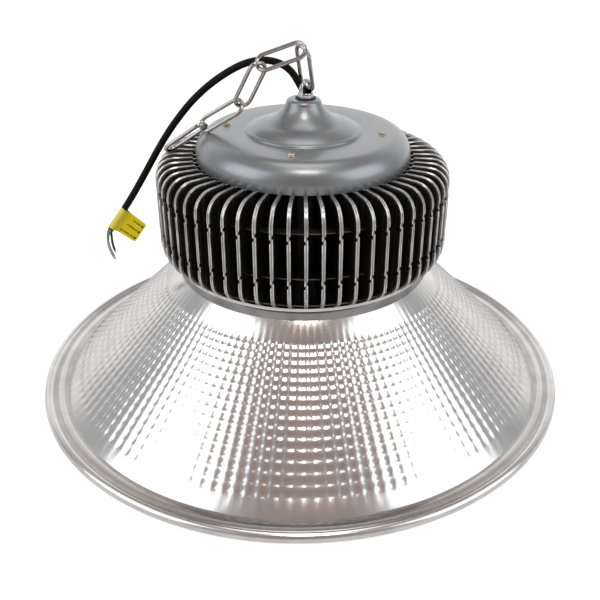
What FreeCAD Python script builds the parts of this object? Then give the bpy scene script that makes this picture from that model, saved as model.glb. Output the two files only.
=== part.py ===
"""High bay light, standing on the rim of its shade.

A dimpled reflector, a finned heat sink with its LEDs, a pressed cover with a bell, a hanging loop,
a draped chain of five links and a mains cable with a flag label and three cores.

Millimetres, +Z up, origin at the centre of the circle that the rim stands on. The front is -Y.
Every size is a cell of the sheet "Sizes"; outlines are worked out from those cells.
"""
import FreeCAD, Part
import math
import os

import Sketcher

# name, value, meaning
SIZES = [
    # reflector
    ("rim_radius", "250", "outside of the rolled rim"),
    ("bead_radius", "4.5", "radius of the rolled rim's bead"),
    ("flange_top", "5.9", "height of the flat flange inside the rim"),
    ("flange_width", "20.8", "from the outside of the rim to the foot of the cone"),
    ("sheet", "1.2", "thickness of the reflector's sheet"),
    ("neck_radius", "115.5", "outside of the reflector's neck"),
    ("neck_base", "118", "height where the cone turns into the neck"),
    ("neck_top", "125.7", "top of the neck's inward flange"),
    ("neck_flange", "15.5", "width of that flange"),
    ("band", "13.5", "plain band between the foot and the first row of dimples"),
    ("top_band", "17.3", "plain band between the last row and the neck"),
    ("row_taper", "0.217", "share by which the lowest row is taller than the mean, and the last lower"),
    ("dimple_depth", "0.5", "depth of a dimple"),
    # seal and base plate
    ("gasket", "2.5", "thickness of the neck's gasket"),
    ("gasket_inset", "0.5", "gasket's edge behind the neck's"),
    ("plate_overhang", "3", "base plate's edge beyond the neck"),
    ("plate_rim", "2.8", "thickness of the base plate's edge"),
    ("boss_play", "1", "play between the flange's opening and the boss in it"),
    ("boss_base", "124", "underside of the boss"),
    ("lead_hole", "6", "radius of the hole for the leads"),
    ("spigot_height", "4", "height of the ring that centres the core tube"),
    ("spigot_width", "8", "width of that ring"),
    ("tube_play", "0.1", "play between that ring and the tube"),
    # screws of the neck
    ("neck_screws", "6", "number of the neck's screws"),
    ("neck_screw_inset", "7.5", "their circle inside the neck's wall"),
    ("neck_screw_head", "3.4", "radius of a head"),
    ("neck_screw_rise", "2.4", "height of a head"),
    ("neck_screw_shank", "1.95", "radius of a shank"),
    ("neck_screw_reach", "0.4", "shank's end below the plate's top"),
    ("screw_play", "0.05", "play of a shank in a threaded hole"),
    ("hole_play", "0.15", "play of a shank in a clearance hole"),
    # light source
    ("board_play", "2", "play between the seal and the circuit board"),
    ("board", "1.6", "thickness of the board"),
    ("chip", "0.7", "height of an LED package"),
    ("chip_side", "5", "side of an LED package"),
    ("chip_margin", "4", "from the outermost ring of LEDs to the board's edge"),
    ("bezel_width", "7", "from the boss's edge in to the glass"),
    ("glass_base", "115", "underside of the glass"),
    ("glass", "4", "thickness of the glass"),
    ("seal_width", "6", "width of the seal on the glass"),
    ("bezel_wall_gap", "0.3", "gap between the glass and the bezel"),
    ("bezel_lip", "2.4", "thickness of the bezel's lip"),
    ("bezel_screws", "6", "number of the bezel's screws"),
    ("bezel_screw_inset", "3.2", "their circle inside the boss's edge"),
    ("bezel_screw_head", "2.8", "radius of a head"),
    ("bezel_screw_rise", "2", "height of a head"),
    ("bezel_screw_shank", "1.45", "radius of a shank"),
    ("bezel_screw_reach", "4", "depth of a shank in the boss"),
    ("blind_rest", "1", "hole left past the end of a shank"),
    # heat sink
    ("tube_inner", "58", "inside of the core tube"),
    ("tube_outer", "64", "outside of the core tube"),
    ("stack_top", "220.5", "top of the core tube, and the cover's seat on the fins"),
    ("fin_count", "60", "number of fins"),
    ("fin_radius", "130.5", "outside of the fins"),
    ("fin_top", "222", "top of the fins' outer part"),
    ("fin_corner", "17", "radius of a fin's outer corners"),
    ("fin_sheet", "1", "thickness of a fin"),
    ("fin_lip", "3", "width of the folded lip"),
    ("fin_lip_depth", "2.6", "depth of the folded lip"),
    ("fin_start", "-89.2", "direction of the first fin in degrees"),
    ("seat_radius", "97.5", "where the fins step up outside the cover"),
    ("top_plate_radius", "80", "radius of the top plate"),
    ("top_plate", "2", "thickness of the top plate"),
    ("top_plate_hole", "9", "radius of the lead's hole in the top plate"),
    # power supply
    ("driver_length", "86", "length of the power supply"),
    ("driver_width", "66", "width of the power supply"),
    ("driver_height", "60", "height of the power supply"),
    ("driver_screws", "4", "number of its screws"),
    ("driver_screw_ring", "26", "radius of their circle"),
    ("driver_screw_head", "2.9", "radius of a head"),
    ("driver_screw_rise", "1.9", "height of a head"),
    ("driver_screw_shank", "1.45", "radius of a shank"),
    ("driver_screw_reach", "6", "depth of a shank in the power supply"),
    ("lead_radius", "0.9", "radius of an LED lead"),
    ("lead_offset", "3", "distance of an LED lead from the axis"),
    # cover
    ("stand_angle", "-98.5", "direction of the first cover screw in degrees"),
    ("stand_count", "4", "number of cover screws"),
    ("stand_ring", "68.6", "radius of their circle"),
    ("stand_radius", "4", "radius of a standoff"),
    ("cover_sheet", "1.2", "thickness of the cover"),
    ("cover_radius", "94.5", "outside of the cover"),
    ("cover_top", "244", "flat top of the cover"),
    ("cover_corner", "18", "radius of the cover's shoulder"),
    ("bell_foot_radius", "51.4", "where the bell rises from the flat"),
    ("bell_foot_rise", "1.5", "height of the small step at its foot"),
    ("bell_foot_bend", "3", "radius of that step"),
    ("bell_foot_low", "1", "how far below the step's top its bend starts"),
    ("bell_foot_high", "0.9", "how far above the step's top its bend ends"),
    ("stem_hole_inset", "0.3", "stem's hole in the bell inside the collar's edge"),
    ("arch_root", "2", "depth of the arch's limbs in the collar"),
    ("bell_slope_radius", "60", "radius of the bell's low slope"),
    ("bell_waist_radius", "33", "outer end of the bell's hollow bend"),
    ("bell_waist_drop", "19.2", "how far that end lies below the bell's top"),
    ("bell_hollow", "34", "radius of the hollow bend"),
    ("bell_neck_radius", "15.6", "inner end of the hollow bend"),
    ("bell_neck_drop", "3.9", "how far that end lies below the bell's top"),
    ("bell_cap_radius", "15.4", "outside of the bell's cap"),
    ("bell_cap_bend", "3.6", "radius of the cap's shoulder"),
    ("bell_top", "271.5", "top of the bell"),
    ("cover_screw_head", "2.9", "radius of a cover screw's head"),
    ("cover_screw_rise", "1.8", "height of the head"),
    ("cover_screw_shank", "1.45", "radius of the shank"),
    ("cover_screw_reach", "10", "depth of the shank in the standoff"),
    ("washer_radius", "3.5", "outside of a cover washer"),
    ("washer", "0.6", "thickness of a cover washer"),
    # hanging loop
    ("loop_angle", "57", "direction of the loop's plane in degrees"),
    ("loop_x", "1.55", "place of the loop's axis"),
    ("loop_y", "0.55", "place of the loop's axis"),
    ("loop_bore", "5.1", "radius of the cable's way through the loop"),
    ("loop_stem", "6.4", "radius of the stem"),
    ("loop_stem_length", "13.5", "stem's reach below the top of the bell"),
    ("loop_seal_radius", "9", "outside of the rubber ring under the collar"),
    ("loop_seal", "0.8", "thickness of that ring"),
    ("collar_radius", "7", "outside of the collar's lower tier"),
    ("collar_step", "1.9", "height of the lower tier"),
    ("collar_upper_radius", "6.6", "outside of the upper tier"),
    ("collar_height", "4.5", "height of the collar"),
    ("arch_rise", "2.2", "height of the arch's centre above the collar"),
    ("arch_inner", "5.2", "inner radius of the arch"),
    ("arch_width", "4", "width of a limb in the loop's plane"),
    ("arch_thickness", "3.4", "thickness of a limb across that plane"),
    ("loop_washer_radius", "9.8", "outside of the washer under the bell"),
    ("loop_washer", "1", "thickness of that washer"),
    ("loop_nut_flats", "17", "nut's size across its flats"),
    ("loop_nut", "5", "height of the nut"),
    # chain
    ("wire", "3.5", "diameter of a link's wire"),
    ("link_length", "46", "outside length of a link"),
    ("link_width", "18.5", "outside width of a link"),
    # cable
    ("cable", "6.2", "diameter of the mains cable"),
    ("core", "2.2", "diameter of a core"),
    ("strand", "1.3", "diameter of a core's bare end"),
    ("strand_length", "3", "length of a core's bare end"),
    ("label_length", "22.7", "length of the label along the cable"),
    ("label_reach", "28.5", "how far the flag reaches from the label's back"),
    ("label_skew", "2.2", "how much the flag's upper edge slants"),
    ("label_sheet", "0.5", "thickness of the label"),
    ("label_corner", "2", "radius of the flag's outer corners"),
    ("label_play", "0.2", "play between the cable and the label"),
]
ROWS = 16
LED_RINGS = 4

# Each link: middle of the link, then heading, pitch and twist in degrees. Heading and pitch turn +X into
# the link's long direction, and twist turns the link about it.
LINKS = [
    ((0.9, -5.1, 298.4), -107, -67, -32.5),
    ((-18.9, -9.3, 308.8), 177.5, 20.5, 134),
    ((-45.1, -7.2, 284.4), 162.5, 62.5, -141),
    ((-70.5, -4.5, 257.2), 175, 31.5, 142.5),
    ((-102.6, -1.8, 236.6), 175, 35, -152.5),
]

# Route of the mains cable, from inside the loop's stem to its cut end.
CABLE_ROUTE = [
    (1.0, -1.2, 262), (1.05, -1.2, 275.6), (-4.0, 1.2, 283.5), (-9.5, 1.6, 293.2), (-18.0, 2.6, 299.7),
    (-28.7, 5.4, 302.1), (-40.5, 8.8, 301.1), (-54.0, 12.0, 296.3), (-69.0, 14.6, 287.3),
    (-84.2, 16.6, 275.9), (-98.3, 17.8, 262.6), (-110.7, 18.2, 247.9), (-122.0, 17.6, 232.7),
    (-132.5, 16.0, 216.3), (-146.8, 13.2, 192.2), (-162.4, 10.0, 167.3), (-178.8, 7.0, 144.9),
]
# Each core: its two offsets at the cable's end, then its further points.
CORES = {
    "core_brown": ((-1.4, 0.7), [(-183.6, 7.6, 133.8), (-182.9, 7.4, 123.6), (-180.0, 7.0, 116.5)]),
    "core_blue": ((1.4, 0.7), [(-179.4, 7.8, 136.8), (-179.8, 8.0, 129.7), (-178.3, 8.0, 122.5)]),
    "core_earth": ((0.0, -1.7), [(-182.6, 4.6, 135.9), (-182.0, 4.0, 127.1), (-178.5, 4.0, 117.6)]),
}


class Dim:
    """A size together with the sheet expression that works it out."""

    def __init__(self, value, text):
        self.value = value
        self.text = text

    def __add__(self, other):
        other = dim(other)
        return Dim(self.value + other.value, f"({self.text} + {other.text})")

    def __sub__(self, other):
        other = dim(other)
        return Dim(self.value - other.value, f"({self.text} - {other.text})")

    def __mul__(self, other):
        other = dim(other)
        return Dim(self.value * other.value, f"{self.text} * {other.text}")

    def __truediv__(self, other):
        other = dim(other)
        return Dim(self.value / other.value, f"({self.text}) / ({other.text})")

    def __rsub__(self, other):
        return dim(other) - self


def dim(value):
    """A plain number as a Dim."""
    if isinstance(value, Dim):
        return value
    return Dim(value, f"{value}")


def root(value):
    """Square root of a Dim."""
    return Dim(math.sqrt(value.value), f"sqrt({value.text})")


class SizeTable:
    """Reads the sheet's cells as Dims: table.rim_radius."""

    def __init__(self, cells):
        self.cells = cells

    def __getattr__(self, name):
        return Dim(float(getattr(self.cells, name)), f"Sizes.{name}")


doc = FreeCAD.newDocument("high_bay_light")
sheet = doc.addObject("Spreadsheet::Sheet", "Sizes")
for row, (alias, value, meaning) in enumerate(SIZES, start=1):
    sheet.set(f"A{row}", alias)
    sheet.set(f"B{row}", value)
    sheet.set(f"C{row}", meaning)
    sheet.setAlias(f"B{row}", alias)
doc.recompute()
size = SizeTable(sheet)
foot_radius = size.rim_radius - size.flange_width
neck_opening = size.neck_radius - size.neck_flange
neck_screw_ring = size.neck_radius - size.neck_screw_inset
plate_radius = size.neck_radius + size.plate_overhang
boss_radius = neck_opening - size.boss_play
bezel_screw_ring = boss_radius - size.bezel_screw_inset
glass_radius = boss_radius - size.bezel_width
board_radius = glass_radius - size.seal_width - size.board_play
chip_ring = (board_radius - size.chip_margin) / LED_RINGS
seal_top = size.bell_top + size.loop_seal
collar_top = seal_top + size.collar_height
arch_height = collar_top + size.arch_rise
loop_stem_base = size.bell_top - size.loop_stem_length
parts = []


# ---- helpers ----------------------------------------------------------------------------------

def keep(shape_object, label):
    """Registers an object as a sub-part under its label."""
    shape_object.Label = label
    parts.append(shape_object)
    return shape_object


def new_body(label):
    body = doc.addObject("PartDesign::Body", label)
    return keep(body, label)


def new_sketch(body, plane_role, name):
    """A sketch on one of the body's own origin planes."""
    plane = next(item for item in body.Origin.OriginFeatures if item.Role == plane_role)
    sketch = body.newObject("Sketcher::SketchObject", name)
    sketch.AttachmentSupport = [(plane, "")]
    sketch.MapMode = "FlatFace"
    return sketch


def bind(sketch, constraint, value):
    """Adds a constraint whose value follows a Dim."""
    index = sketch.addConstraint(constraint)
    sketch.setExpression(f"Constraints[{index}]", value.text)


def pin_point(sketch, geometry, position, across, up):
    """Fixes a point at (across, up); 0 puts it on the axis."""
    if dim(across).value == 0:
        sketch.addConstraint(Sketcher.Constraint("PointOnObject", geometry, position, -2))
    else:
        place = Sketcher.Constraint("DistanceX", -1, 1, geometry, position, across.value)
        bind(sketch, place, across)
    if dim(up).value == 0:
        sketch.addConstraint(Sketcher.Constraint("PointOnObject", geometry, position, -1))
    else:
        place = Sketcher.Constraint("DistanceY", -1, 1, geometry, position, up.value)
        bind(sketch, place, up)


def arc_through(start, end, radius, side):
    """Minor arc from start to end; side 1 curves to the left of the way, -1 to the right."""
    chord = end - start
    half = chord.Length / 2
    away = FreeCAD.Vector(-chord.y, chord.x, 0).normalize()
    rise = math.sqrt(max(radius * radius - half * half, 0))
    centre = start + chord / 2 - away * (rise * side * -1)
    first = math.atan2(start.y - centre.y, start.x - centre.x)
    last = math.atan2(end.y - centre.y, end.x - centre.x)
    circle = Part.Circle(centre, FreeCAD.Vector(0, 0, 1), radius)
    if side > 0:
        return Part.ArcOfCircle(circle, first, last), (1, 2)
    return Part.ArcOfCircle(circle, last, first), (2, 1)


def draw_outline(sketch, points):
    """Draws a closed outline.

    A point is (across, up) or (across, up, radius, side): then an arc leaves it, as arc_through says.
    """
    spots = [FreeCAD.Vector(dim(point[0]).value, dim(point[1]).value, 0) for point in points]
    ends = []
    for index, point in enumerate(points):
        start = spots[index]
        end = spots[(index + 1) % len(points)]
        if len(point) == 4:
            curve, positions = arc_through(start, end, dim(point[2]).value, point[3])
            geometry = sketch.addGeometry(curve, False)
        else:
            positions = (1, 2)
            geometry = sketch.addGeometry(Part.LineSegment(start, end), False)
        ends.append((geometry, positions))
    for index, point in enumerate(points):
        geometry, positions = ends[index]
        before, before_positions = ends[index - 1]
        sketch.addConstraint(
            Sketcher.Constraint("Coincident", before, before_positions[1], geometry, positions[0]))
        pin_point(sketch, geometry, positions[0], point[0], point[1])
    for index, point in enumerate(points):
        if len(point) == 4:
            radius = dim(point[2])
            bind(sketch, Sketcher.Constraint("Radius", ends[index][0], radius.value), radius)


def turn_sketch(body, sketch, axis, name):
    turned_feature = body.newObject("PartDesign::Revolution", name)
    turned_feature.Profile = sketch
    turned_feature.ReferenceAxis = (sketch, [axis])
    turned_feature.Angle = 360
    return turned_feature


def turned(label, points, angle=0.0):
    """A piece turned about the light's axis."""
    body = new_body(label)
    sketch = new_sketch(body, "XZ_Plane", f"{label}_section")
    draw_outline(sketch, points)
    turn_sketch(body, sketch, "V_Axis", f"{label}_turned")
    body.Placement.Rotation = FreeCAD.Rotation(FreeCAD.Vector(0, 0, 1), angle)
    return body


def around(body, feature, sketch, axis, count, name):
    """Repeats a feature evenly round the light's axis."""
    pattern = body.newObject("PartDesign::PolarPattern", name)
    pattern.Originals = [feature]
    pattern.Axis = (sketch, [axis])
    pattern.Angle = 360
    pattern.Occurrences = int(dim(count).value)
    pattern.setExpression("Occurrences", dim(count).text)
    body.Tip = pattern
    return pattern


def ring_of_turned(label, ring, count, points, angle=0.0):
    """Equal small turned pieces on a circle; the points' first value is the radius of the piece."""
    body = new_body(label)
    sketch = new_sketch(body, "XZ_Plane", f"{label}_section")
    draw_outline(sketch, [(ring + point[0], *point[1:]) for point in points])
    low = dim(points[0][1])
    high = low + 1
    axis_line = Part.LineSegment(FreeCAD.Vector(ring.value, low.value, 0),
                                 FreeCAD.Vector(ring.value, high.value, 0))
    geometry = sketch.addGeometry(axis_line, True)
    pin_point(sketch, geometry, 1, ring, low)
    pin_point(sketch, geometry, 2, ring, high)
    piece = turn_sketch(body, sketch, "Axis0", f"{label}_piece")
    around(body, piece, sketch, "V_Axis", count, f"{label}_ring")
    body.Placement.Rotation = FreeCAD.Rotation(FreeCAD.Vector(0, 0, 1), angle)
    return body


def drill(body, name, radius, centre, depth=None, ring_count=None):
    """Cuts a round hole upward from the XY plane, through all or to a height, once or in a ring."""
    sketch = new_sketch(body, "XY_Plane", f"{name}_mark")
    across, up = centre
    middle = FreeCAD.Vector(dim(across).value, dim(up).value, 0)
    circle = Part.Circle(middle, FreeCAD.Vector(0, 0, 1), radius.value)
    geometry = sketch.addGeometry(circle, False)
    bind(sketch, Sketcher.Constraint("Radius", geometry, radius.value), radius)
    pin_point(sketch, geometry, 3, across, up)
    hole = body.newObject("PartDesign::Pocket", name)
    hole.Profile = sketch
    hole.Reversed = True
    if depth is None:
        hole.Type = "ThroughAll"
    else:
        hole.Type = "Length"
        hole.Length = depth.value
        hole.setExpression("Length", depth.text)
    body.Tip = hole
    if ring_count is not None:
        around(body, hole, sketch, "N_Axis", ring_count, f"{name}_ring")
    return hole


def ring_section(inner, outer, low, high):
    return [(inner, low), (outer, low), (outer, high), (inner, high)]


def screw_section(shank, head, tip, seat, crown):
    """A pan-head screw between its tip and crown; the head meets its seat on the crown's side."""
    return [(dim(0), tip), (shank, tip), (shank, seat), (head, seat), (head, crown), (dim(0), crown)]


# ---- reflector --------------------------------------------------------------------------------

def cone_lines():
    """Length of the cone's slope, and its cosine and sine."""
    run = foot_radius - size.neck_radius
    rise = size.neck_base - size.flange_top
    slope = root(run * run + rise * rise)
    return slope, run / slope, rise / slope


def row_way(index, slope):
    """Distance up the slope from the foot to the start of a row."""
    mean = (slope - size.band - size.top_band) / ROWS
    rows_below = size.row_taper * (index - index * (index - 1) / (ROWS - 1)) + index
    return size.band + mean * rows_below


def make_reflector():
    slope, cosine, sine = cone_lines()
    ways = [row_way(index, slope) for index in range(ROWS + 1)]
    bead_centre = size.rim_radius - size.bead_radius
    over = size.flange_top - size.bead_radius
    under = size.flange_top - size.sheet - size.bead_radius
    bead_square = size.bead_radius * size.bead_radius
    points = [
        (size.rim_radius, size.bead_radius, size.bead_radius, 1),
        (bead_centre - root(bead_square - over * over), size.flange_top),
        (foot_radius, size.flange_top),
    ]
    for way, next_way in zip(ways, ways[1:]):
        height = next_way - way
        bend = height * height / (size.dimple_depth * 8) + size.dimple_depth / 2
        points.append((foot_radius - cosine * way, size.flange_top + sine * way, bend, -1))
    points.append((foot_radius - cosine * ways[-1], size.flange_top + sine * ways[-1]))
    flange_under = size.flange_top - size.sheet
    inner_wall = size.neck_radius - size.sheet
    inner_turn = size.neck_base - size.sheet * (1 - sine) / cosine
    inner_foot = foot_radius - size.sheet * (1 - cosine) / sine
    points += [
        (size.neck_radius, size.neck_base),
        (size.neck_radius, size.neck_top),
        (neck_opening, size.neck_top),
        (neck_opening, size.neck_top - size.sheet),
        (inner_wall, size.neck_top - size.sheet),
        (inner_wall, inner_turn),
        (inner_foot, flange_under),
        (bead_centre - root(bead_square - under * under), flange_under, size.bead_radius, 1),
    ]
    body = turned("reflector", points)
    drill(body, "neck_hole", size.neck_screw_shank + size.hole_play, (neck_screw_ring, 0),
          ring_count=size.neck_screws)


def make_neck():
    low = size.neck_top
    high = low + size.gasket
    outer = size.neck_radius - size.gasket_inset
    gasket = turned("neck_gasket", ring_section(neck_opening, outer, low, high))
    drill(gasket, "gasket_hole", size.neck_screw_shank + size.hole_play, (neck_screw_ring, 0),
          ring_count=size.neck_screws)
    top = high + size.plate_rim
    spigot = size.tube_inner - size.tube_play
    plate = turned("base_plate", [
        (size.lead_hole, size.boss_base), (boss_radius, size.boss_base), (boss_radius, high),
        (plate_radius, high), (plate_radius, top), (spigot, top),
        (spigot, top + size.spigot_height), (spigot - size.spigot_width, top + size.spigot_height),
        (spigot - size.spigot_width, top), (size.lead_hole, top),
    ])
    drill(plate, "plate_hole", size.neck_screw_shank + size.screw_play, (neck_screw_ring, 0),
          ring_count=size.neck_screws)
    depth = size.boss_base + size.bezel_screw_reach + size.blind_rest
    drill(plate, "boss_hole", size.bezel_screw_shank + size.screw_play, (bezel_screw_ring, 0),
          depth=depth, ring_count=size.bezel_screws)
    seat = size.neck_top - size.sheet
    ring_of_turned("reflector_screws", neck_screw_ring, size.neck_screws,
                   screw_section(size.neck_screw_shank, size.neck_screw_head, top - size.neck_screw_reach,
                                 seat, seat - size.neck_screw_rise))
    return top


# ---- light source -----------------------------------------------------------------------------

def make_light_source():
    board_base = size.boss_base - size.board
    turned("led_board", ring_section(0, board_radius, board_base, size.boss_base))
    chips = new_body("led_chips")
    for index in range(1, LED_RINGS + 1):
        sketch = new_sketch(chips, "XY_Plane", f"chip_mark_{index}")
        half = size.chip_side / 2
        middle = chip_ring * index
        corners = [(middle - half, half), (middle + half, half)]
        low_corners = [(middle + half, 0 - half), (middle - half, 0 - half)]
        draw_outline(sketch, corners + low_corners)
        sketch.AttachmentOffset.Base = FreeCAD.Vector(0, 0, (board_base - size.chip).value)
        sketch.setExpression("AttachmentOffset.Base.z", (board_base - size.chip).text)
        pad = chips.newObject("PartDesign::Pad", f"chip_{index}")
        pad.Profile = sketch
        pad.Length = size.chip.value
        pad.setExpression("Length", size.chip.text)
        around(chips, pad, sketch, "N_Axis", 6 * index, f"chip_ring_{index}")
    glass_top = size.glass_base + size.glass
    seal_inner = glass_radius - size.seal_width
    turned("cover_glass", ring_section(0, glass_radius, size.glass_base, glass_top))
    turned("glass_gasket", ring_section(seal_inner, glass_radius, glass_top, size.boss_base))
    wall = glass_radius + size.bezel_wall_gap
    lip_base = size.glass_base - size.bezel_lip
    bezel = turned("glass_bezel", [
        (seal_inner, lip_base), (boss_radius, lip_base), (boss_radius, size.boss_base),
        (wall, size.boss_base), (wall, size.glass_base), (seal_inner, size.glass_base),
    ])
    drill(bezel, "bezel_hole", size.bezel_screw_shank + size.hole_play, (bezel_screw_ring, 0),
          ring_count=size.bezel_screws)
    tip = size.boss_base + size.bezel_screw_reach
    ring_of_turned("bezel_screws", bezel_screw_ring, size.bezel_screws,
                   screw_section(size.bezel_screw_shank, size.bezel_screw_head, tip, lip_base,
                                 lip_base - size.bezel_screw_rise))


# ---- heat sink --------------------------------------------------------------------------------

def make_heat_sink(plate_top):
    turned("core_tube", ring_section(size.tube_inner, size.tube_outer, plate_top, size.stack_top))
    fins = new_body("cooling_fins")
    corner = size.fin_corner
    inner_corner = corner - size.fin_lip_depth
    outer = size.fin_radius
    inside = outer - size.fin_lip_depth
    low = plate_top
    high = size.fin_top
    web = [
        (size.tube_outer, low), (outer - corner, low, corner, 1), (outer, low + corner),
        (outer, high - corner, corner, 1), (outer - corner, high), (size.seat_radius, high),
        (size.seat_radius, size.stack_top), (size.tube_outer, size.stack_top),
    ]
    lip = [
        (outer - corner, low, corner, 1), (outer, low + corner), (outer, high - corner, corner, 1),
        (outer - corner, high), (outer - corner, high - size.fin_lip_depth, inner_corner, -1),
        (inside, high - corner), (inside, low + corner, inner_corner, -1),
        (outer - corner, low + size.fin_lip_depth),
    ]
    for name, outline, width in (("fin_web", web, size.fin_sheet), ("fin_lip", lip, size.fin_lip)):
        sketch = new_sketch(fins, "XZ_Plane", f"{name}_outline")
        draw_outline(sketch, outline)
        pad = fins.newObject("PartDesign::Pad", name)
        pad.Profile = sketch
        pad.Length = width.value
        pad.setExpression("Length", width.text)
        pad.Midplane = True
    around(fins, fins.getObject("fin_web"), sketch, "V_Axis", size.fin_count, "fin_ring")
    fins.getObject("fin_ring").Originals = [fins.getObject("fin_web"), fins.getObject("fin_lip")]
    fins.Placement.Rotation = FreeCAD.Rotation(FreeCAD.Vector(0, 0, 1), size.fin_start.value)


def make_driver(plate_top):
    low = size.stack_top
    high = low + size.top_plate
    angle = size.stand_angle.value
    plate = turned("top_plate", ring_section(size.top_plate_hole, size.top_plate_radius, low, high), angle)
    drill(plate, "stud_hole", size.cover_screw_shank + size.screw_play, (size.stand_ring, 0),
          ring_count=size.stand_count)
    drill(plate, "driver_hole", size.driver_screw_shank + size.hole_play, (size.driver_screw_ring, 0),
          ring_count=size.driver_screws)
    case = new_body("driver_case")
    sketch = new_sketch(case, "XY_Plane", "driver_outline")
    half_length = size.driver_length / 2
    half_width = size.driver_width / 2
    draw_outline(sketch, [
        (half_length, half_width), (0 - half_length, half_width), (0 - half_length, 0 - half_width),
        (half_length, 0 - half_width),
    ])
    base = low - size.driver_height
    sketch.AttachmentOffset.Base = FreeCAD.Vector(0, 0, base.value)
    sketch.setExpression("AttachmentOffset.Base.z", base.text)
    pad = case.newObject("PartDesign::Pad", "driver_block")
    pad.Profile = sketch
    pad.Length = size.driver_height.value
    pad.setExpression("Length", size.driver_height.text)
    case.Placement.Rotation = FreeCAD.Rotation(FreeCAD.Vector(0, 0, 1), angle)
    return base, high


def make_driver_screws(plate_top):
    """The screws' holes in the case are cut from above, so the case keeps a closed floor."""
    angle = size.stand_angle.value
    low = size.stack_top
    tip = low - size.driver_screw_reach
    shank = size.driver_screw_shank
    ring_of_turned("driver_screws", size.driver_screw_ring, size.driver_screws,
                   screw_section(shank, size.driver_screw_head, tip, plate_top,
                                 plate_top + size.driver_screw_rise), angle)
    case = doc.getObject("driver_case")
    sketch = new_sketch(case, "XY_Plane", "case_hole_mark")
    sketch.AttachmentOffset.Base = FreeCAD.Vector(0, 0, low.value)
    sketch.setExpression("AttachmentOffset.Base.z", low.text)
    radius = shank + size.screw_play
    circle = Part.Circle(FreeCAD.Vector(size.driver_screw_ring.value, 0, 0), FreeCAD.Vector(0, 0, 1),
                         radius.value)
    geometry = sketch.addGeometry(circle, False)
    bind(sketch, Sketcher.Constraint("Radius", geometry, radius.value), radius)
    pin_point(sketch, geometry, 3, size.driver_screw_ring, 0)
    hole = case.newObject("PartDesign::Pocket", "case_hole")
    hole.Profile = sketch
    depth = size.driver_screw_reach + size.blind_rest
    hole.Type = "Length"
    hole.Length = depth.value
    hole.setExpression("Length", depth.text)
    around(case, hole, sketch, "N_Axis", size.driver_screws, "case_hole_ring")


def upright(label, radius, across, up, low, high):
    """A plain upright cylinder."""
    rod = doc.addObject("Part::Cylinder", label)
    keep(rod, label)
    height = high - low
    rod.Radius = radius.value
    rod.setExpression("Radius", radius.text)
    rod.Height = height.value
    rod.setExpression("Height", height.text)
    rod.Placement.Base = FreeCAD.Vector(dim(across).value, dim(up).value, low.value)
    rod.setExpression("Placement.Base.z", low.text)


# ---- cover ------------------------------------------------------------------------------------

def make_standoffs(plate_top):
    high = size.cover_top - size.cover_sheet
    stud = size.cover_screw_shank
    hole = size.cover_screw_shank + size.screw_play
    depth = high - size.cover_screw_reach - size.blind_rest
    ring_of_turned("cover_standoffs", size.stand_ring, size.stand_count, [
        (dim(0), size.stack_top), (stud, size.stack_top), (stud, plate_top),
        (size.stand_radius, plate_top), (size.stand_radius, high), (hole, high), (hole, depth),
        (dim(0), depth),
    ], size.stand_angle.value)
    seat = size.cover_top
    washer_top = seat + size.washer
    ring_of_turned("cover_washers", size.stand_ring, size.stand_count,
                   ring_section(hole, size.washer_radius, seat, washer_top), size.stand_angle.value)
    ring_of_turned("cover_screws", size.stand_ring, size.stand_count,
                   screw_section(stud, size.cover_screw_head, high - size.cover_screw_reach, washer_top,
                                 washer_top + size.cover_screw_rise), size.stand_angle.value)


def make_cover():
    """Outside of the pressed cover and bell, then the same line one sheet further in."""
    def line(inset):
        radius = size.cover_radius - inset
        corner = size.cover_corner - inset
        top = size.cover_top - inset
        centre = size.cover_radius - size.cover_corner
        foot = size.bell_foot_radius - inset
        step = top + size.bell_foot_rise
        bend = size.bell_foot_bend
        shelf = foot - bend
        cap = size.bell_cap_radius - inset
        cap_bend = size.bell_cap_bend - inset
        bell_top = size.bell_top - inset
        cap_centre = size.bell_cap_radius - size.bell_cap_bend
        waist = size.bell_waist_radius - inset * 0.3
        waist_height = size.bell_top - size.bell_waist_drop - inset * 0.95
        neck = size.bell_neck_radius - inset
        return [
            (radius, size.stack_top), (radius, size.cover_top - size.cover_corner, corner, 1),
            (centre, top), (foot, top), (foot, step - size.bell_foot_low, bend, 1),
            (shelf, step + size.bell_foot_high, size.bell_slope_radius - inset, 1),
            (waist, waist_height, size.bell_hollow + inset, -1), (neck, size.bell_top - size.bell_neck_drop),
            (cap, bell_top - cap_bend, cap_bend, 1), (cap_centre, bell_top),
        ]
    outside = line(dim(0))
    inside = line(size.cover_sheet)
    hole = size.collar_radius - size.stem_hole_inset
    back = []
    for index in range(len(inside) - 1, -1, -1):
        point = inside[index]
        before = inside[index - 1]
        if index > 0 and len(before) == 4:
            back.append((point[0], point[1], before[2], -before[3]))
        else:
            back.append((point[0], point[1]))
    body = new_body("top_cover")
    sketch = new_sketch(body, "XZ_Plane", "cover_section")
    top_edge = [(size.loop_bore / 2, size.bell_top), (size.loop_bore / 2, size.bell_top - size.cover_sheet)]
    draw_outline(sketch, outside + top_edge + back)
    turn_sketch(body, sketch, "V_Axis", "cover_turned")
    body.Placement.Rotation = FreeCAD.Rotation(FreeCAD.Vector(0, 0, 1), size.stand_angle.value)
    drill(body, "cover_hole", size.cover_screw_shank + size.hole_play, (size.stand_ring, 0),
          ring_count=size.stand_count)
    angle = math.radians(size.stand_angle.value)
    across = size.loop_x * math.cos(angle) + size.loop_y * math.sin(angle)
    up = size.loop_y * math.cos(angle) - size.loop_x * math.sin(angle)
    drill(body, "stem_hole", hole, (across, up))


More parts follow.
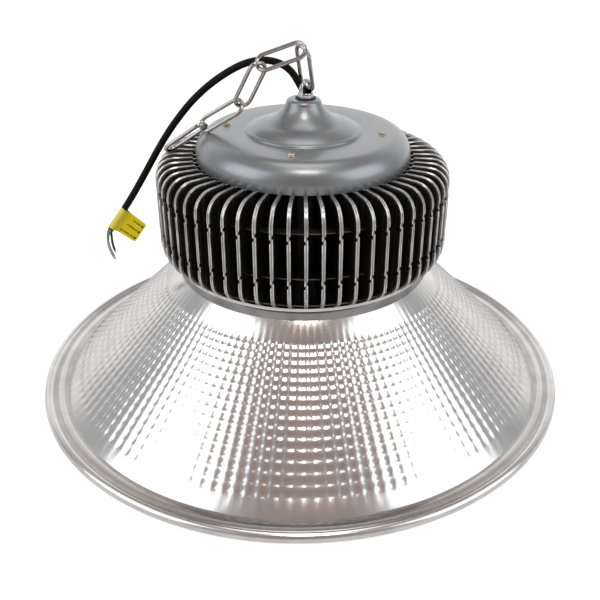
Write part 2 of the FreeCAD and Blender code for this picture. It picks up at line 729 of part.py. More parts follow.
def at_loop(thing, turned_by=0.0):
    """Moves a piece made on the axis to the loop's place."""
    thing.Placement = FreeCAD.Placement(
        FreeCAD.Vector(size.loop_x.value, size.loop_y.value, 0),
        FreeCAD.Rotation(FreeCAD.Vector(0, 0, 1), turned_by))


def make_loop():
    stem_hole = size.loop_stem + size.tube_play
    at_loop(turned("loop_seal", ring_section(stem_hole, size.loop_seal_radius, size.bell_top, seal_top)))
    loop = turned("hanging_loop", [
        (size.loop_bore, loop_stem_base), (size.loop_stem, loop_stem_base),
        (size.loop_stem, seal_top), (size.collar_radius, seal_top),
        (size.collar_radius, seal_top + size.collar_step),
        (size.collar_upper_radius, seal_top + size.collar_step),
        (size.collar_upper_radius, collar_top), (size.loop_bore, collar_top),
    ])
    arch = new_sketch(loop, "XZ_Plane", "arch_outline")
    outer = size.arch_inner + size.arch_width
    foot = collar_top - size.arch_root
    draw_outline(arch, [
        (size.arch_inner, foot), (outer, foot), (outer, arch_height, outer, 1),
        (0, arch_height + outer, outer, 1), (0 - outer, arch_height), (0 - outer, foot),
        (0 - size.arch_inner, foot), (0 - size.arch_inner, arch_height, size.arch_inner, -1),
        (0, arch_height + size.arch_inner, size.arch_inner, -1), (size.arch_inner, arch_height),
    ])
    pad = loop.newObject("PartDesign::Pad", "arch")
    pad.Profile = arch
    pad.Length = size.arch_thickness.value
    pad.setExpression("Length", size.arch_thickness.text)
    pad.Midplane = True
    at_loop(loop, size.loop_angle.value)
    under = size.bell_top - size.cover_sheet
    washer_low = under - size.loop_washer
    at_loop(turned("loop_washer", ring_section(stem_hole, size.loop_washer_radius, washer_low, under)))
    nut = new_body("loop_nut")
    sketch = new_sketch(nut, "XY_Plane", "nut_outline")
    corner = size.loop_nut_flats / math.sqrt(3)
    half = size.loop_nut_flats / 2
    draw_outline(sketch, [
        (corner, 0), (corner / 2, half), (0 - corner / 2, half), (0 - corner, 0),
        (0 - corner / 2, 0 - half), (corner / 2, 0 - half),
    ])
    nut_low = washer_low - size.loop_nut
    sketch.AttachmentOffset.Base = FreeCAD.Vector(0, 0, nut_low.value)
    sketch.setExpression("AttachmentOffset.Base.z", nut_low.text)
    block = nut.newObject("PartDesign::Pad", "nut_block")
    block.Profile = sketch
    block.Length = size.loop_nut.value
    block.setExpression("Length", size.loop_nut.text)
    drill(nut, "nut_hole", stem_hole, (0, 0))
    at_loop(nut)


# ---- chain ------------------------------------------------------------------------------------

def make_link(number, middle, heading, pitch, twist):
    """One oval link: two half rings and two straight limbs, long along its own X, flat in its own XY."""
    label = f"chain_link_{number}"
    wire = size.wire / 2
    bend = (size.link_width - size.wire) / 2
    reach = (size.link_length - size.link_width) / 2
    pieces = []
    for side in (-1, 1):
        ring = doc.addObject("Part::Torus", f"{label}_bend_{len(pieces)}")
        ring.Radius1 = bend.value
        ring.setExpression("Radius1", bend.text)
        ring.Radius2 = wire.value
        ring.setExpression("Radius2", wire.text)
        ring.Angle3 = 180
        ring.Placement = FreeCAD.Placement(FreeCAD.Vector(side * reach.value, 0, 0),
                                           FreeCAD.Rotation(FreeCAD.Vector(0, 0, 1), -90 * side))
        ring.setExpression("Placement.Base.x", (reach * side).text)
        pieces.append(ring)
        limb = doc.addObject("Part::Cylinder", f"{label}_limb_{len(pieces)}")
        limb.Radius = wire.value
        limb.setExpression("Radius", wire.text)
        limb.Height = 2 * reach.value
        limb.setExpression("Height", (reach * 2).text)
        limb.Placement = FreeCAD.Placement(FreeCAD.Vector(-reach.value, side * bend.value, 0),
                                           FreeCAD.Rotation(FreeCAD.Vector(0, 1, 0), 90))
        limb.setExpression("Placement.Base.x", (0 - reach).text)
        limb.setExpression("Placement.Base.y", (bend * side).text)
        pieces.append(limb)
    link = doc.addObject("Part::MultiFuse", label)
    link.Shapes = pieces
    link.Placement = FreeCAD.Placement(FreeCAD.Vector(*middle), FreeCAD.Rotation(heading, pitch, twist))
    keep(link, label)


# ---- cable ------------------------------------------------------------------------------------

def rounded_path(points, name):
    """Straight runs joined by tangent arcs, each as large as its two runs allow."""
    spots = [FreeCAD.Vector(*point) for point in points]
    edges = []
    start = spots[0]
    radii = []
    for before, corner, after in zip(spots, spots[1:], spots[2:]):
        back = before - corner
        ahead = after - corner
        tangent = 0.45 * min(back.Length, ahead.Length)
        back.normalize()
        ahead.normalize()
        turn = math.pi - back.getAngle(ahead)
        radii.append(tangent / math.tan(turn / 2))
        arc_start = corner + back * tangent
        arc_end = corner + ahead * tangent
        inward = (back + ahead).normalize()
        centre = corner + inward * (tangent / math.sin(turn / 2))
        arc_middle = centre - inward * radii[-1]
        edges.append(Part.LineSegment(start, arc_start).toShape())
        edges.append(Part.Arc(arc_start, arc_middle, arc_end).toShape())
        start = arc_end
    edges.append(Part.LineSegment(start, spots[-1]).toShape())
    path = Part.Wire(edges)
    print(name, "length", round(path.Length, 1), "radii", [round(radius, 1) for radius in radii])
    return path


def make_tube(label, points, diameter):
    path = rounded_path(points, label)
    start = FreeCAD.Vector(*points[0])
    way = (FreeCAD.Vector(*points[1]) - start).normalize()
    section = Part.Wire([Part.makeCircle(diameter / 2, start, way)])
    shape = path.makePipeShell([section], True, False)
    expected = path.Length * math.pi * diameter * diameter / 4
    if abs(shape.Volume / expected - 1) > 0.01:
        raise ValueError(f"{label}: volume {shape.Volume:.1f}, expected {expected:.1f}")
    tube = doc.addObject("Part::Feature", label)
    tube.Shape = shape
    keep(tube, label)


def cable_end():
    """End of the cable, its direction there, and the direction across it in the plane of the route."""
    end = FreeCAD.Vector(*CABLE_ROUTE[-1])
    along = (end - FreeCAD.Vector(*CABLE_ROUTE[-2])).normalize()
    across = FreeCAD.Vector(0, -1, 0).cross(along).normalize()
    return end, along, across * (1 if across.x > 0 else -1)


def make_cores():
    end, along, across = cable_end()
    beside = across.cross(along)
    beside *= 1 if beside.y > 0 else -1
    stubs = []
    for label, (offset, further) in CORES.items():
        start = end + across * offset[0] + beside * offset[1]
        step = start + along * 3.2
        points = [tuple(start), tuple(step)] + further
        make_tube(label, points, size.core.value)
        tip = FreeCAD.Vector(*further[-1])
        way = (tip - FreeCAD.Vector(*further[-2])).normalize()
        stubs.append(Part.makeCylinder(size.strand.value / 2, size.strand_length.value, tip, way))
    strands = doc.addObject("Part::Feature", "core_strands")
    strands.Shape = Part.makeCompound(stubs)
    keep(strands, "core_strands")


def make_label():
    """A flag folded round the cable: a thin sleeve and the flat leaf that leaves it."""
    end, along, across = cable_end()
    label = new_body("cable_label")
    inner = size.cable / 2 + size.label_play
    outer = inner + size.label_sheet
    sleeve = new_sketch(label, "YZ_Plane", "sleeve_outline")
    for radius in (inner, outer):
        circle = Part.Circle(FreeCAD.Vector(0, 0, 0), FreeCAD.Vector(0, 0, 1), radius.value)
        geometry = sleeve.addGeometry(circle, False)
        bind(sleeve, Sketcher.Constraint("Radius", geometry, radius.value), radius)
        sleeve.addConstraint(Sketcher.Constraint("Coincident", geometry, 3, -1, 1))
    roll = label.newObject("PartDesign::Pad", "sleeve")
    roll.Profile = sleeve
    roll.Length = size.label_length.value
    roll.setExpression("Length", size.label_length.text)
    leaf = new_sketch(label, "XY_Plane", "leaf_outline")
    near = inner + size.label_sheet / 2
    far = size.label_reach - outer
    corner = size.label_corner
    draw_outline(leaf, [
        (0, near), (size.label_length, near), (size.label_length, far - corner, corner, 1),
        (size.label_length - corner, far), (size.label_skew + corner, far, corner, 1),
        (size.label_skew, far - corner),
    ])
    flag = label.newObject("PartDesign::Pad", "leaf")
    flag.Profile = leaf
    flag.Length = size.label_sheet.value
    flag.setExpression("Length", size.label_sheet.text)
    flag.Midplane = True
    tail = 1.2
    turn = FreeCAD.Rotation(along, across, along.cross(across), "XYZ")
    label.Placement = FreeCAD.Placement(end - along * (size.label_length.value + tail), turn)


# ---- the light --------------------------------------------------------------------------------

make_reflector()
base_top = make_neck()
make_light_source()
make_heat_sink(base_top)
case_base, inner_top = make_driver(base_top)
make_driver_screws(inner_top)
upright("led_lead_red", size.lead_radius, size.lead_offset, 0, size.boss_base, case_base)
upright("led_lead_black", size.lead_radius, 0 - size.lead_offset, 0, size.boss_base, case_base)
make_standoffs(inner_top)
make_cover()
make_loop()
for number, pose in enumerate(LINKS, start=1):
    make_link(number, *pose)
cable_start = CABLE_ROUTE[0]
upright("inner_lead", size.cable / 2, cable_start[0], cable_start[1], size.stack_top,
        dim(cable_start[2]))
make_tube("mains_cable", CABLE_ROUTE, size.cable.value)
make_cores()
make_label()
doc.recompute()

for item in doc.Objects:
    if "Invalid" in item.State or "Error" in item.State:
        raise ValueError(f"{item.Label} failed: {item.State}")
for item in parts:
    if item.Shape.isNull() or not item.Shape.isValid():
        raise ValueError(f"{item.Label} has no valid shape")
os.makedirs("parts", exist_ok=True)
for item in parts:
    item.Shape.exportStep(f"parts/{item.Label}.step")
    print(f"{item.Label:20s} solids {len(item.Shape.Solids):3d}  volume {item.Shape.Volume / 1000:9.2f} cm3")
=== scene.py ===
"""High bay light: detail pieces, finishes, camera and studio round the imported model."""

import logging
import math
from dataclasses import dataclass
from enum import Enum

import bmesh
import bpy
from mathutils import Matrix, Vector

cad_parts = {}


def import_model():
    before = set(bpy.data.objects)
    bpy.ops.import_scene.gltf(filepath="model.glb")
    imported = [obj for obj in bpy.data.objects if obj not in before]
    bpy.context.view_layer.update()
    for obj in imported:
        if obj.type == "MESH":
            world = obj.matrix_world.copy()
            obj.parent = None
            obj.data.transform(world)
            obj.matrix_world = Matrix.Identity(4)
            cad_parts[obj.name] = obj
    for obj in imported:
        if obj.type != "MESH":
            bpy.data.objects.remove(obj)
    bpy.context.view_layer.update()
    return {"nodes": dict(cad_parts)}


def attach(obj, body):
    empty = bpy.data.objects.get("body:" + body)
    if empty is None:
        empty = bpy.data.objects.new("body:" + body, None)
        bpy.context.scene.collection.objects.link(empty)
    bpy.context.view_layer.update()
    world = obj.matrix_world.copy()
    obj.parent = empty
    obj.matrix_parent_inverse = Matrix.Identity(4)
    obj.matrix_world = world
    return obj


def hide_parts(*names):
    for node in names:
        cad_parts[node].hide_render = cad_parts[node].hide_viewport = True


LOG = logging.getLogger("high_bay_light")
MM = 0.001
FINE = 3.0  # octaves of a noise with fine marks
NOISE_ROUGHNESS = 0.55
DRAWN_STRETCH = 0.04  # scale of drawn marks along their run
RELIEF = 0.1  # height of a finish's relief in millimetres
WELD = 0.002  # distance in millimetres under which points are one
LEAD_ROUND = 5  # steps in a quarter of a lead's section
LEAD_SMOOTH = 8  # steps between two points of a lead's line

Point = tuple[float, ...]
Colour = tuple[float, float, float]


# ---- shader maths -----------------------------------------------------------------------------

class Value:
    """A shader socket that takes part in Python sums."""

    def __init__(self, painter: "Painter", socket: bpy.types.NodeSocket) -> None:
        """Wraps a socket of the painter's tree."""
        self.painter = painter
        self.socket = socket

    def _sum(self, operation: str, first: "Value | float", second: "Value | float") -> "Value":
        """Adds a Math node.

        Args:
            operation: the Math node's operation.
            first: its first operand.
            second: its second operand.

        Returns:
            The node's result.
        """
        return self.painter.node("ShaderNodeMath", {"operation": operation}, {0: first, 1: second})

    def __add__(self, other: "Value | float") -> "Value":
        """Sum."""
        return self._sum("ADD", self, other)

    __radd__ = __add__

    def __sub__(self, other: "Value | float") -> "Value":
        """Difference."""
        return self._sum("SUBTRACT", self, other)

    def __rsub__(self, other: float) -> "Value":
        """Reflected difference."""
        return self._sum("SUBTRACT", other, self)

    def __mul__(self, other: "Value | float") -> "Value":
        """Product."""
        return self._sum("MULTIPLY", self, other)

    __rmul__ = __mul__

    def root(self) -> "Value":
        """Square root."""
        return self._sum("SQRT", self, 0.0)

    def size(self) -> "Value":
        """Absolute value."""
        return self._sum("ABSOLUTE", self, 0.0)

    def above(self, least: float) -> "Value":
        """The value, or the least where it is lower."""
        return self._sum("MAXIMUM", self, least)

    def step(self, low: float, high: float) -> "Value":
        """Smooth step.

        Args:
            low: value that gives 0.
            high: value that gives 1.

        Returns:
            The step's value, held between 0 and 1.
        """
        return self.painter.node("ShaderNodeMapRange", {"interpolation_type": "SMOOTHSTEP"},
                                 {"Value": self, "From Min": low, "From Max": high})


class Grain(Enum):
    """Direction of a metal's fine marks."""

    PLAIN = "plain"
    TURNED = "turned"
    DRAWN = "drawn"


class Painter:
    """Builds the nodes of one material."""

    def __init__(self, name: str) -> None:
        """Starts an empty material of that name."""
        self.material = bpy.data.materials.new(name)
        self.material.use_nodes = True
        self.tree = self.material.node_tree
        self.tree.nodes.clear()

    def node(self, kind: str, settings: dict, inputs: dict, output: int | str = 0) -> Value:
        """Adds any node.

        Args:
            kind: the node's type.
            settings: its own settings, set first.
            inputs: numbers, colours or Values by the socket's name or index.
            output: the output that is wanted.

        Returns:
            That output.
        """
        made = self.tree.nodes.new(kind)
        for key, setting in settings.items():
            setattr(made, key, setting)
        for key, value in inputs.items():
            if isinstance(value, Value):
                self.tree.links.new(value.socket, made.inputs[key])
            else:
                made.inputs[key].default_value = value
        return Value(self, made.outputs[output])

    def space(self, scale: Point = (1.0, 1.0, 1.0)) -> Value:
        """Object coordinates, stretched by a scale for each axis."""
        place = self.node("ShaderNodeTexCoord", {}, {}, "Object")
        return self.node("ShaderNodeVectorMath", {"operation": "MULTIPLY"}, {0: place, 1: scale})

    def axes(self, space: Value | None = None) -> tuple[Value, Value, Value]:
        """The three numbers of a vector, by default the Object coordinates."""
        made = self.tree.nodes.new("ShaderNodeSeparateXYZ")
        self.tree.links.new((space or self.space()).socket, made.inputs[0])
        return tuple(Value(self, socket) for socket in made.outputs)

    def radius(self) -> Value:
        """Distance from the light's axis."""
        x, y, _ = self.axes()
        return (x * x + y * y).root()

    def grain_space(self, grain: Grain) -> Value:
        """Coordinates in which plain noise runs the way of the grain.

        Args:
            grain: the way the marks run.

        Returns:
            The coordinates.
        """
        if grain is Grain.TURNED:
            return self.node("ShaderNodeCombineXYZ", {}, {0: self.radius(), 1: self.axes()[2]})
        if grain is Grain.DRAWN:
            return self.space((1.0, 1.0, DRAWN_STRETCH))
        return self.space()

    def noise(self, space: Value, scale: float, detail: float = 2.0) -> Value:
        """Noise of a scale in waves to the metre."""
        inputs = {"Vector": space, "Scale": scale, "Detail": detail, "Roughness": NOISE_ROUGHNESS}
        return self.node("ShaderNodeTexNoise", {}, inputs)

    def blend(self, share: Value | float, first: Colour | Value, second: Colour | Value) -> Value:
        """Mixes two colours.

        Args:
            share: 0 gives the first colour and 1 the second.
            first: a colour.
            second: a colour.

        Returns:
            The mixed colour.
        """
        pair = [(*colour, 1.0) if isinstance(colour, tuple) else colour for colour in (first, second)]
        return self.node("ShaderNodeMix", {"data_type": "RGBA"}, {0: share, 6: pair[0], 7: pair[1]}, 2)

    def surface(self, colour: Value, roughness: Value | float, height: Value, bump: float,
                metallic: Value | float = 0.0, fixed: dict[str, float] | None = None) -> bpy.types.Material:
        """Ends the material in one shader.

        Args:
            colour: base colour.
            roughness: roughness.
            height: relief from 0 to 1.
            bump: strength of that relief.
            metallic: share of metal.
            fixed: constants of the shader's own sockets.

        Returns:
            The finished material.
        """
        relief = {"Strength": bump, "Distance": RELIEF * MM, "Height": height}
        normal = self.node("ShaderNodeBump", {}, relief, "Normal")
        inputs = {"Base Color": colour, "Roughness": roughness, "Metallic": metallic, "Normal": normal}
        shader = self.node("ShaderNodeBsdfPrincipled", {}, {**inputs, **(fixed or {})})
        self.node_out(shader)
        return self.material

    def node_out(self, shader: Value) -> None:
        """Joins a shader to the material's output."""
        output = self.tree.nodes.new("ShaderNodeOutputMaterial")
        self.tree.links.new(shader.socket, output.inputs["Surface"])


# ---- finishes ---------------------------------------------------------------------------------

def toned(colour: Colour, share: float) -> Colour:
    """A colour made darker or lighter by a share."""
    return tuple(share * part for part in colour)


@dataclass(frozen=True)
class Metal:
    """Bare or plated metal with fine marks and soft smudges."""

    name: str
    bright: Colour
    dull: Colour
    roughness: float
    spread: float = 0.08
    grain: Grain = Grain.PLAIN
    grain_scale: float = 900.0
    bump: float = 0.05
    smudge_scale: float = 40.0
    smudge_edges: tuple[float, float] = (0.35, 0.7)

    def make(self) -> bpy.types.Material:
        """Builds the material."""
        paint = Painter(self.name)
        grain = paint.noise(paint.grain_space(self.grain), self.grain_scale, FINE)
        smudge = paint.noise(paint.space(), self.smudge_scale)
        colour = paint.blend(smudge.step(*self.smudge_edges), self.bright, self.dull)
        rough = self.roughness + (grain - 0.5) * self.spread + (smudge - 0.5) * self.spread
        return paint.surface(colour, rough, grain, self.bump, 1.0)


@dataclass(frozen=True)
class Moulding:
    """Plastic, rubber or board with a fine skin."""

    name: str
    colour: Colour
    shade: Colour
    roughness: float
    skin_scale: float = 1400.0
    bump: float = 0.12
    coat: float = 0.0
    specular: float = 0.5
    skin_spread: float = 0.12
    cloud_scale: float = 70.0
    cloud_edges: tuple[float, float] = (0.3, 0.75)
    cloud_spread: float = 0.08

    def make(self) -> bpy.types.Material:
        """Builds the material."""
        paint = Painter(self.name)
        skin = paint.noise(paint.space(), self.skin_scale, FINE)
        cloud = paint.noise(paint.space(), self.cloud_scale)
        colour = paint.blend(cloud.step(*self.cloud_edges), self.colour, self.shade)
        rough = self.roughness + (skin - 0.5) * self.skin_spread + (cloud - 0.5) * self.cloud_spread
        fixed = {"Coat Weight": self.coat, "Specular IOR Level": self.specular}
        return paint.surface(colour, rough, skin, self.bump, 0.0, fixed)


@dataclass(frozen=True)
class Lacquer:
    """Metallic paint with fine flakes, a faint orange peel and a clear coat."""

    name: str
    colour: Colour
    flake: Colour
    roughness: float
    metallic: float = 0.72
    coat: float = 0.35
    coat_roughness: float = 0.17
    flake_scale: float = 2600.0
    flake_edges: tuple[float, float] = (0.45, 0.72)
    flake_share: float = 0.5
    flake_height: float = 0.03
    peel_scale: float = 210.0
    cloud_scale: float = 18.0
    cloud_share: float = 0.25
    cloud_spread: float = 0.08
    bump: float = 0.10

    def make(self) -> bpy.types.Material:
        """Builds the material."""
        paint = Painter(self.name)
        flakes = paint.noise(paint.space(), self.flake_scale, 1.0).step(*self.flake_edges)
        peel = paint.noise(paint.space(), self.peel_scale, 1.0)
        cloud = paint.noise(paint.space(), self.cloud_scale)
        share = flakes * self.flake_share + cloud * self.cloud_share
        colour = paint.blend(share, self.colour, self.flake)
        rough = self.roughness + (cloud - 0.5) * self.cloud_spread + flakes * self.flake_height
        relief = peel + flakes * self.flake_height
        fixed = {"Coat Weight": self.coat, "Coat Roughness": self.coat_roughness}
        return paint.surface(colour, rough, relief, self.bump, self.metallic, fixed)


@dataclass(frozen=True)
class FinSheet:
    """Stamped fin: silver along its rounded edge, grey painted shade in the lip's groove and deep painted
    shade further in, streaked lighter by painted reflections.
    """

    name: str
    silver: Colour
    # The groove colour is painted shade in the lip's groove; the next colour is painted shade further in
    groove: Colour
    painted_web_shade: Colour
    radius: float
    low: float
    top: float
    corner: float
    rim: float = 2.2
    rim_soft: float = 0.5
    fade: float = 5.0
    mark_scale: float = 1500.0
    mark_spread: float = 0.14
    cloud_scale: float = 90.0
    cloud_edges: tuple[float, float] = (0.3, 0.7)
    tarnish: float = 0.8
    streak_scale: float = 420.0
    streak_edges: tuple[float, float] = (0.45, 0.75)
    web_tones: tuple[float, float] = (0.45, 1.9)
    web_metal: float = 0.55
    roughness: float = 0.46
    polish: float = 0.2
    bump: float = 0.10

    def make(self) -> bpy.types.Material:
        """Builds the material."""
        paint = Painter(self.name)
        middle = (self.low + self.top) / 2
        straight = (self.top - self.low) / 2 - self.corner
        height = (paint.axes()[2] - middle * MM).size()
        out = (paint.radius() - (self.radius - self.corner) * MM).above(0.0)
        rise = (height - straight * MM).above(0.0)
        depth = (out * out + rise * rise).root()
        inner = self.corner - self.rim
        edge = depth.step((inner - self.rim_soft) * MM, inner * MM)
        # Painted shade: the web's edge in the lip's groove is greyed along the fin's straight vertical
        # stretch
        groove_shade_mask = 1.0 - height.step(straight * MM, (straight + self.fade) * MM)
        marks = paint.noise(paint.grain_space(Grain.DRAWN), self.mark_scale, FINE)
        cloud = paint.noise(paint.space(), self.cloud_scale).step(*self.cloud_edges)
        metal = paint.blend(cloud, self.silver, toned(self.silver, self.tarnish))
        metal = paint.blend(groove_shade_mask, metal, self.groove)
        # Painted shade further in, with lighter streaks as painted reflections
        streak = paint.noise(paint.grain_space(Grain.DRAWN), self.streak_scale, FINE)
        deep, pale = (toned(self.painted_web_shade, share) for share in self.web_tones)
        web = paint.blend(streak.step(*self.streak_edges), deep, pale)
        colour = paint.blend(edge, web, metal)
        rough = self.roughness - edge * self.polish + (marks - 0.5) * self.mark_spread
        metallic = edge * (1 - self.web_metal) + self.web_metal
        return paint.surface(colour, rough, marks, self.bump, metallic)


@dataclass(frozen=True)
class Glass:
    """Clear toughened glass with faint smears."""

    name: str = "toughened_glass"
    tint: Colour = (0.93, 0.97, 0.95)
    smeared: Colour = (0.97, 0.98, 0.98)
    smear_scale: float = 30.0
    smear_edges: tuple[float, float] = (0.5, 0.8)
    smear_roughness: float = 0.05
    roughness: float = 0.03
    bump: float = 0.01
    transmission: float = 0.9
    ior: float = 1.5

    def make(self) -> bpy.types.Material:
        """Builds the material."""
        paint = Painter(self.name)
        smear = paint.noise(paint.space(), self.smear_scale)
        colour = paint.blend(smear, self.tint, self.smeared)
        rough = self.roughness + smear.step(*self.smear_edges) * self.smear_roughness
        fixed = {"Transmission Weight": self.transmission, "IOR": self.ior}
        return paint.surface(colour, rough, smear, self.bump, 0.0, fixed)


@dataclass(frozen=True)
class LabelFilm:
    """Yellow film with a lighter fold, a crease carrying a painted highlight line, and three plain printed
    bars that end in spots.
    """

    name: str = "yellow_film"
    film: Colour = (0.90, 0.76, 0.004)
    strip: Colour = (0.86, 0.76, 0.20)
    ink: Colour = (0.06, 0.05, 0.01)
    bars: tuple[Point, ...] = ((0.2, 0.5, 0.82), (0.5, 0.38, 0.82), (0.84, 0.26, 0.82))
    bar_edges: tuple[float, float] = (0.025, 0.05)
    bar_soft: float = 0.02
    spot: float = 0.9
    spot_edges: tuple[float, float] = (0.038, 0.055)
    spot_stretch: float = 0.6
    fold_edges: tuple[float, float] = (0.02, 0.10)
    fold_share: float = 0.7
    crease: float = 0.19
    crease_edges: tuple[float, float] = (0.0, 0.03)
    # Share of the painted highlight along the crease
    crease_highlight_share: float = 0.4
    gap_scale: Point = (1.0, 26.0, 1.0)
    gap_edges: tuple[float, float] = (0.36, 0.5)
    ink_share: float = 0.8
    grit_scale: float = 900.0
    grit_height: float = 0.2
    grit_spread: float = 0.12
    roughness: float = 0.42
    bump: float = 0.4
    specular: float = 0.25

    def make(self) -> bpy.types.Material:
        """Builds the material."""
        paint = Painter(self.name)
        where = paint.node("ShaderNodeTexCoord", {}, {}, "UV")
        along, out, _ = paint.axes(where)
        fold = 1.0 - out.step(*self.fold_edges)
        crease = 1.0 - (out - self.crease).size().step(*self.crease_edges)
        beyond = out - self.spot
        lines, spots = 0.0, 0.0
        for place, first, last in self.bars:
            beside = along - place
            bar = 1.0 - beside.size().step(*self.bar_edges)
            begun = out.step(first, first + self.bar_soft)
            lines = bar * begun * (1.0 - out.step(last, last + self.bar_soft)) + lines
            away = (beside * beside * self.spot_stretch + beyond * beyond).root()
            spots = (1.0 - away.step(*self.spot_edges)) + spots
        stretched = {0: where, 1: self.gap_scale}
        gaps = paint.node("ShaderNodeVectorMath", {"operation": "MULTIPLY"}, stretched)
        broken = paint.noise(gaps, 1.0).step(*self.gap_edges)
        grit = paint.noise(paint.space(), self.grit_scale, FINE)
        # The crease is real relief in the bump and a painted highlight in the colour
        pale = fold * self.fold_share + crease * self.crease_highlight_share
        colour = paint.blend(pale, self.film, self.strip)
        colour = paint.blend(lines * broken * self.ink_share, colour, self.ink)
        colour = paint.blend(spots, colour, self.ink)
        rough = self.roughness + (grit - 0.5) * self.grit_spread
        relief = crease + grit * self.grit_height
        return paint.surface(colour, rough, relief, self.bump, 0.0, {"Specular IOR Level": self.specular})


@dataclass(frozen=True)
class HighlightedCore:
    """Green insulation with a painted highlight along its front."""

    name: str = "core_painted_highlight"
    green: Colour = (0.10, 0.31, 0.19)
    painted_highlight: Colour = (0.26, 0.50, 0.35)
    highlight_y: float = 3.5
    highlight_soft: float = 0.1
    skin_scale: float = 1800.0
    skin_spread: float = 0.1
    roughness: float = 0.38
    bump: float = 0.08

    def make(self) -> bpy.types.Material:
        """Builds the material."""
        paint = Painter(self.name)
        edges = [(self.highlight_y + side * self.highlight_soft) * MM for side in (-1, 1)]
        front = 1.0 - paint.axes()[1].step(*edges)
        skin = paint.noise(paint.space(), self.skin_scale)
        # The front side is painted lighter as a highlight
        colour = paint.blend(front, self.green, self.painted_highlight)
        rough = self.roughness + (skin - 0.5) * self.skin_spread
        return paint.surface(colour, rough, skin, self.bump)


FINISHES = {
    "reflector": Metal("polished_cells", (0.80, 0.79, 0.78), (0.71, 0.70, 0.69), 0.19, 0.03, bump=0.006),
    "flange": Metal("turned_flange", (0.66, 0.65, 0.64), (0.56, 0.55, 0.54), 0.33, 0.12,
                    Grain.TURNED, 1600.0, 0.03),
    # The neck takes a much darker tone than the cells and the flange
    "neck": Metal("turned_neck", (0.30, 0.295, 0.29), (0.20, 0.195, 0.19), 0.30, 0.14,
                  Grain.TURNED, 1600.0, 0.06),
    "alloy": Metal("cast_alloy", (0.66, 0.66, 0.65), (0.55, 0.55, 0.54), 0.36, 0.12,
                   Grain.TURNED, 1200.0, 0.08),
    # The core tube's near-black colour is painted shade
    "tube": Metal("core_tube_painted_shade", (0.035, 0.034, 0.033), (0.022, 0.021, 0.020), 0.45, 0.12, Grain.DRAWN),
    "steel": Metal("zinc_steel", (0.60, 0.60, 0.58), (0.46, 0.46, 0.44), 0.33, 0.1),
    "nickel": Metal("nickel_brass", (0.70, 0.62, 0.46), (0.52, 0.45, 0.32), 0.24, 0.1),
    "loop": Metal("loop_plating", (0.58, 0.59, 0.60), (0.48, 0.49, 0.50), 0.08, 0.02, bump=0.003),
    "link": Metal("link_plating", (0.53, 0.51, 0.495), (0.41, 0.39, 0.375), 0.08, 0.02, bump=0.003),
    "strand": Metal("bare_strands", (0.62, 0.58, 0.52), (0.42, 0.38, 0.33), 0.35, 0.1, Grain.DRAWN),
    "cover": Lacquer("metallic_grey", (0.25, 0.27, 0.285), (0.42, 0.44, 0.455), 0.32, 0.78, 0.5),
    "driver": Lacquer("satin_grey", (0.20, 0.21, 0.22), (0.26, 0.27, 0.28), 0.45, 0.2, 0.0),
    # The fins' groove and web colours are painted shade, the web streaked with painted reflections
    "fins": FinSheet("stamped_fins_painted_shade", (0.64, 0.64, 0.635), (0.27, 0.265, 0.26), (0.042, 0.039, 0.036),
                     radius=130.5, low=131.0, top=222.0, corner=17.0),
    "lip": Metal("folded_lips", (0.66, 0.655, 0.645), (0.52, 0.515, 0.505), 0.30, 0.10,
                 Grain.DRAWN, 1500.0, 0.03),
    # The tabs' near-black colour is painted shade
    "tab": Metal("fin_tabs_painted_shade", (0.13, 0.12, 0.115), (0.06, 0.057, 0.054), 0.42, 0.12,
                 Grain.DRAWN, 1500.0, 0.03),
    "rubber": Moulding("black_rubber", (0.022, 0.022, 0.023), (0.035, 0.035, 0.035), 0.62, 900.0),
    "silicone": Moulding("pale_silicone", (0.68, 0.68, 0.66), (0.60, 0.60, 0.58), 0.55, 600.0),
    "board": Moulding("white_board", (0.80, 0.82, 0.79), (0.74, 0.77, 0.74), 0.42, 2000.0),
    "phosphor": Moulding("phosphor", (0.80, 0.66, 0.16), (0.86, 0.74, 0.30), 0.40, 2600.0, 0.2),
    "red_lead": Moulding("red_lead", (0.50, 0.03, 0.025), (0.42, 0.02, 0.02), 0.35),
    "cable": Moulding("cable_sheath", (0.003, 0.003, 0.0033), (0.006, 0.006, 0.0065), 0.50, 1100.0, 0.08,
                      specular=0.14),
    "brown": Moulding("brown_core", (0.30, 0.09, 0.07), (0.22, 0.06, 0.045), 0.36, 1800.0, 0.08),
    "blue": Moulding("blue_core", (0.010, 0.020, 0.085), (0.008, 0.015, 0.060), 0.36, 1800.0, 0.08),
    "green": HighlightedCore(),
    "label": LabelFilm(),
    "glass": Glass(),
}
CAD_FINISHES = {
    "neck_gasket": "rubber", "base_plate": "alloy", "led_board": "board", "led_chips": "phosphor",
    "cover_glass": "glass", "glass_gasket": "silicone", "glass_bezel": "alloy", "core_tube": "tube",
    "top_plate": "alloy", "driver_case": "driver", "driver_screws": "steel", "led_lead_red": "red_lead",
    "led_lead_black": "cable", "cover_standoffs": "steel", "loop_nut": "steel", "loop_washer": "steel",
    "inner_lead": "cable",
}


class Shop:
    """Makes each finish once and hands it out by name."""

    def __init__(self) -> None:
        """Starts with no finish made."""
        self.made: dict[str, bpy.types.Material] = {}

    def get(self, name: str) -> bpy.types.Material:
        """The material of a finish."""
        if name not in self.made:
            self.made[name] = FINISHES[name].make()
        return self.made[name]

    def dress(self, node: bpy.types.Object, finish: str) -> None:
        """Gives a carried-over node its finish."""
        for slot in node.material_slots:
            slot.material = self.get(finish)
        LOG.info("%s dressed as %s", node.name, finish)


# ---- shapes -----------------------------------------------------------------------------------

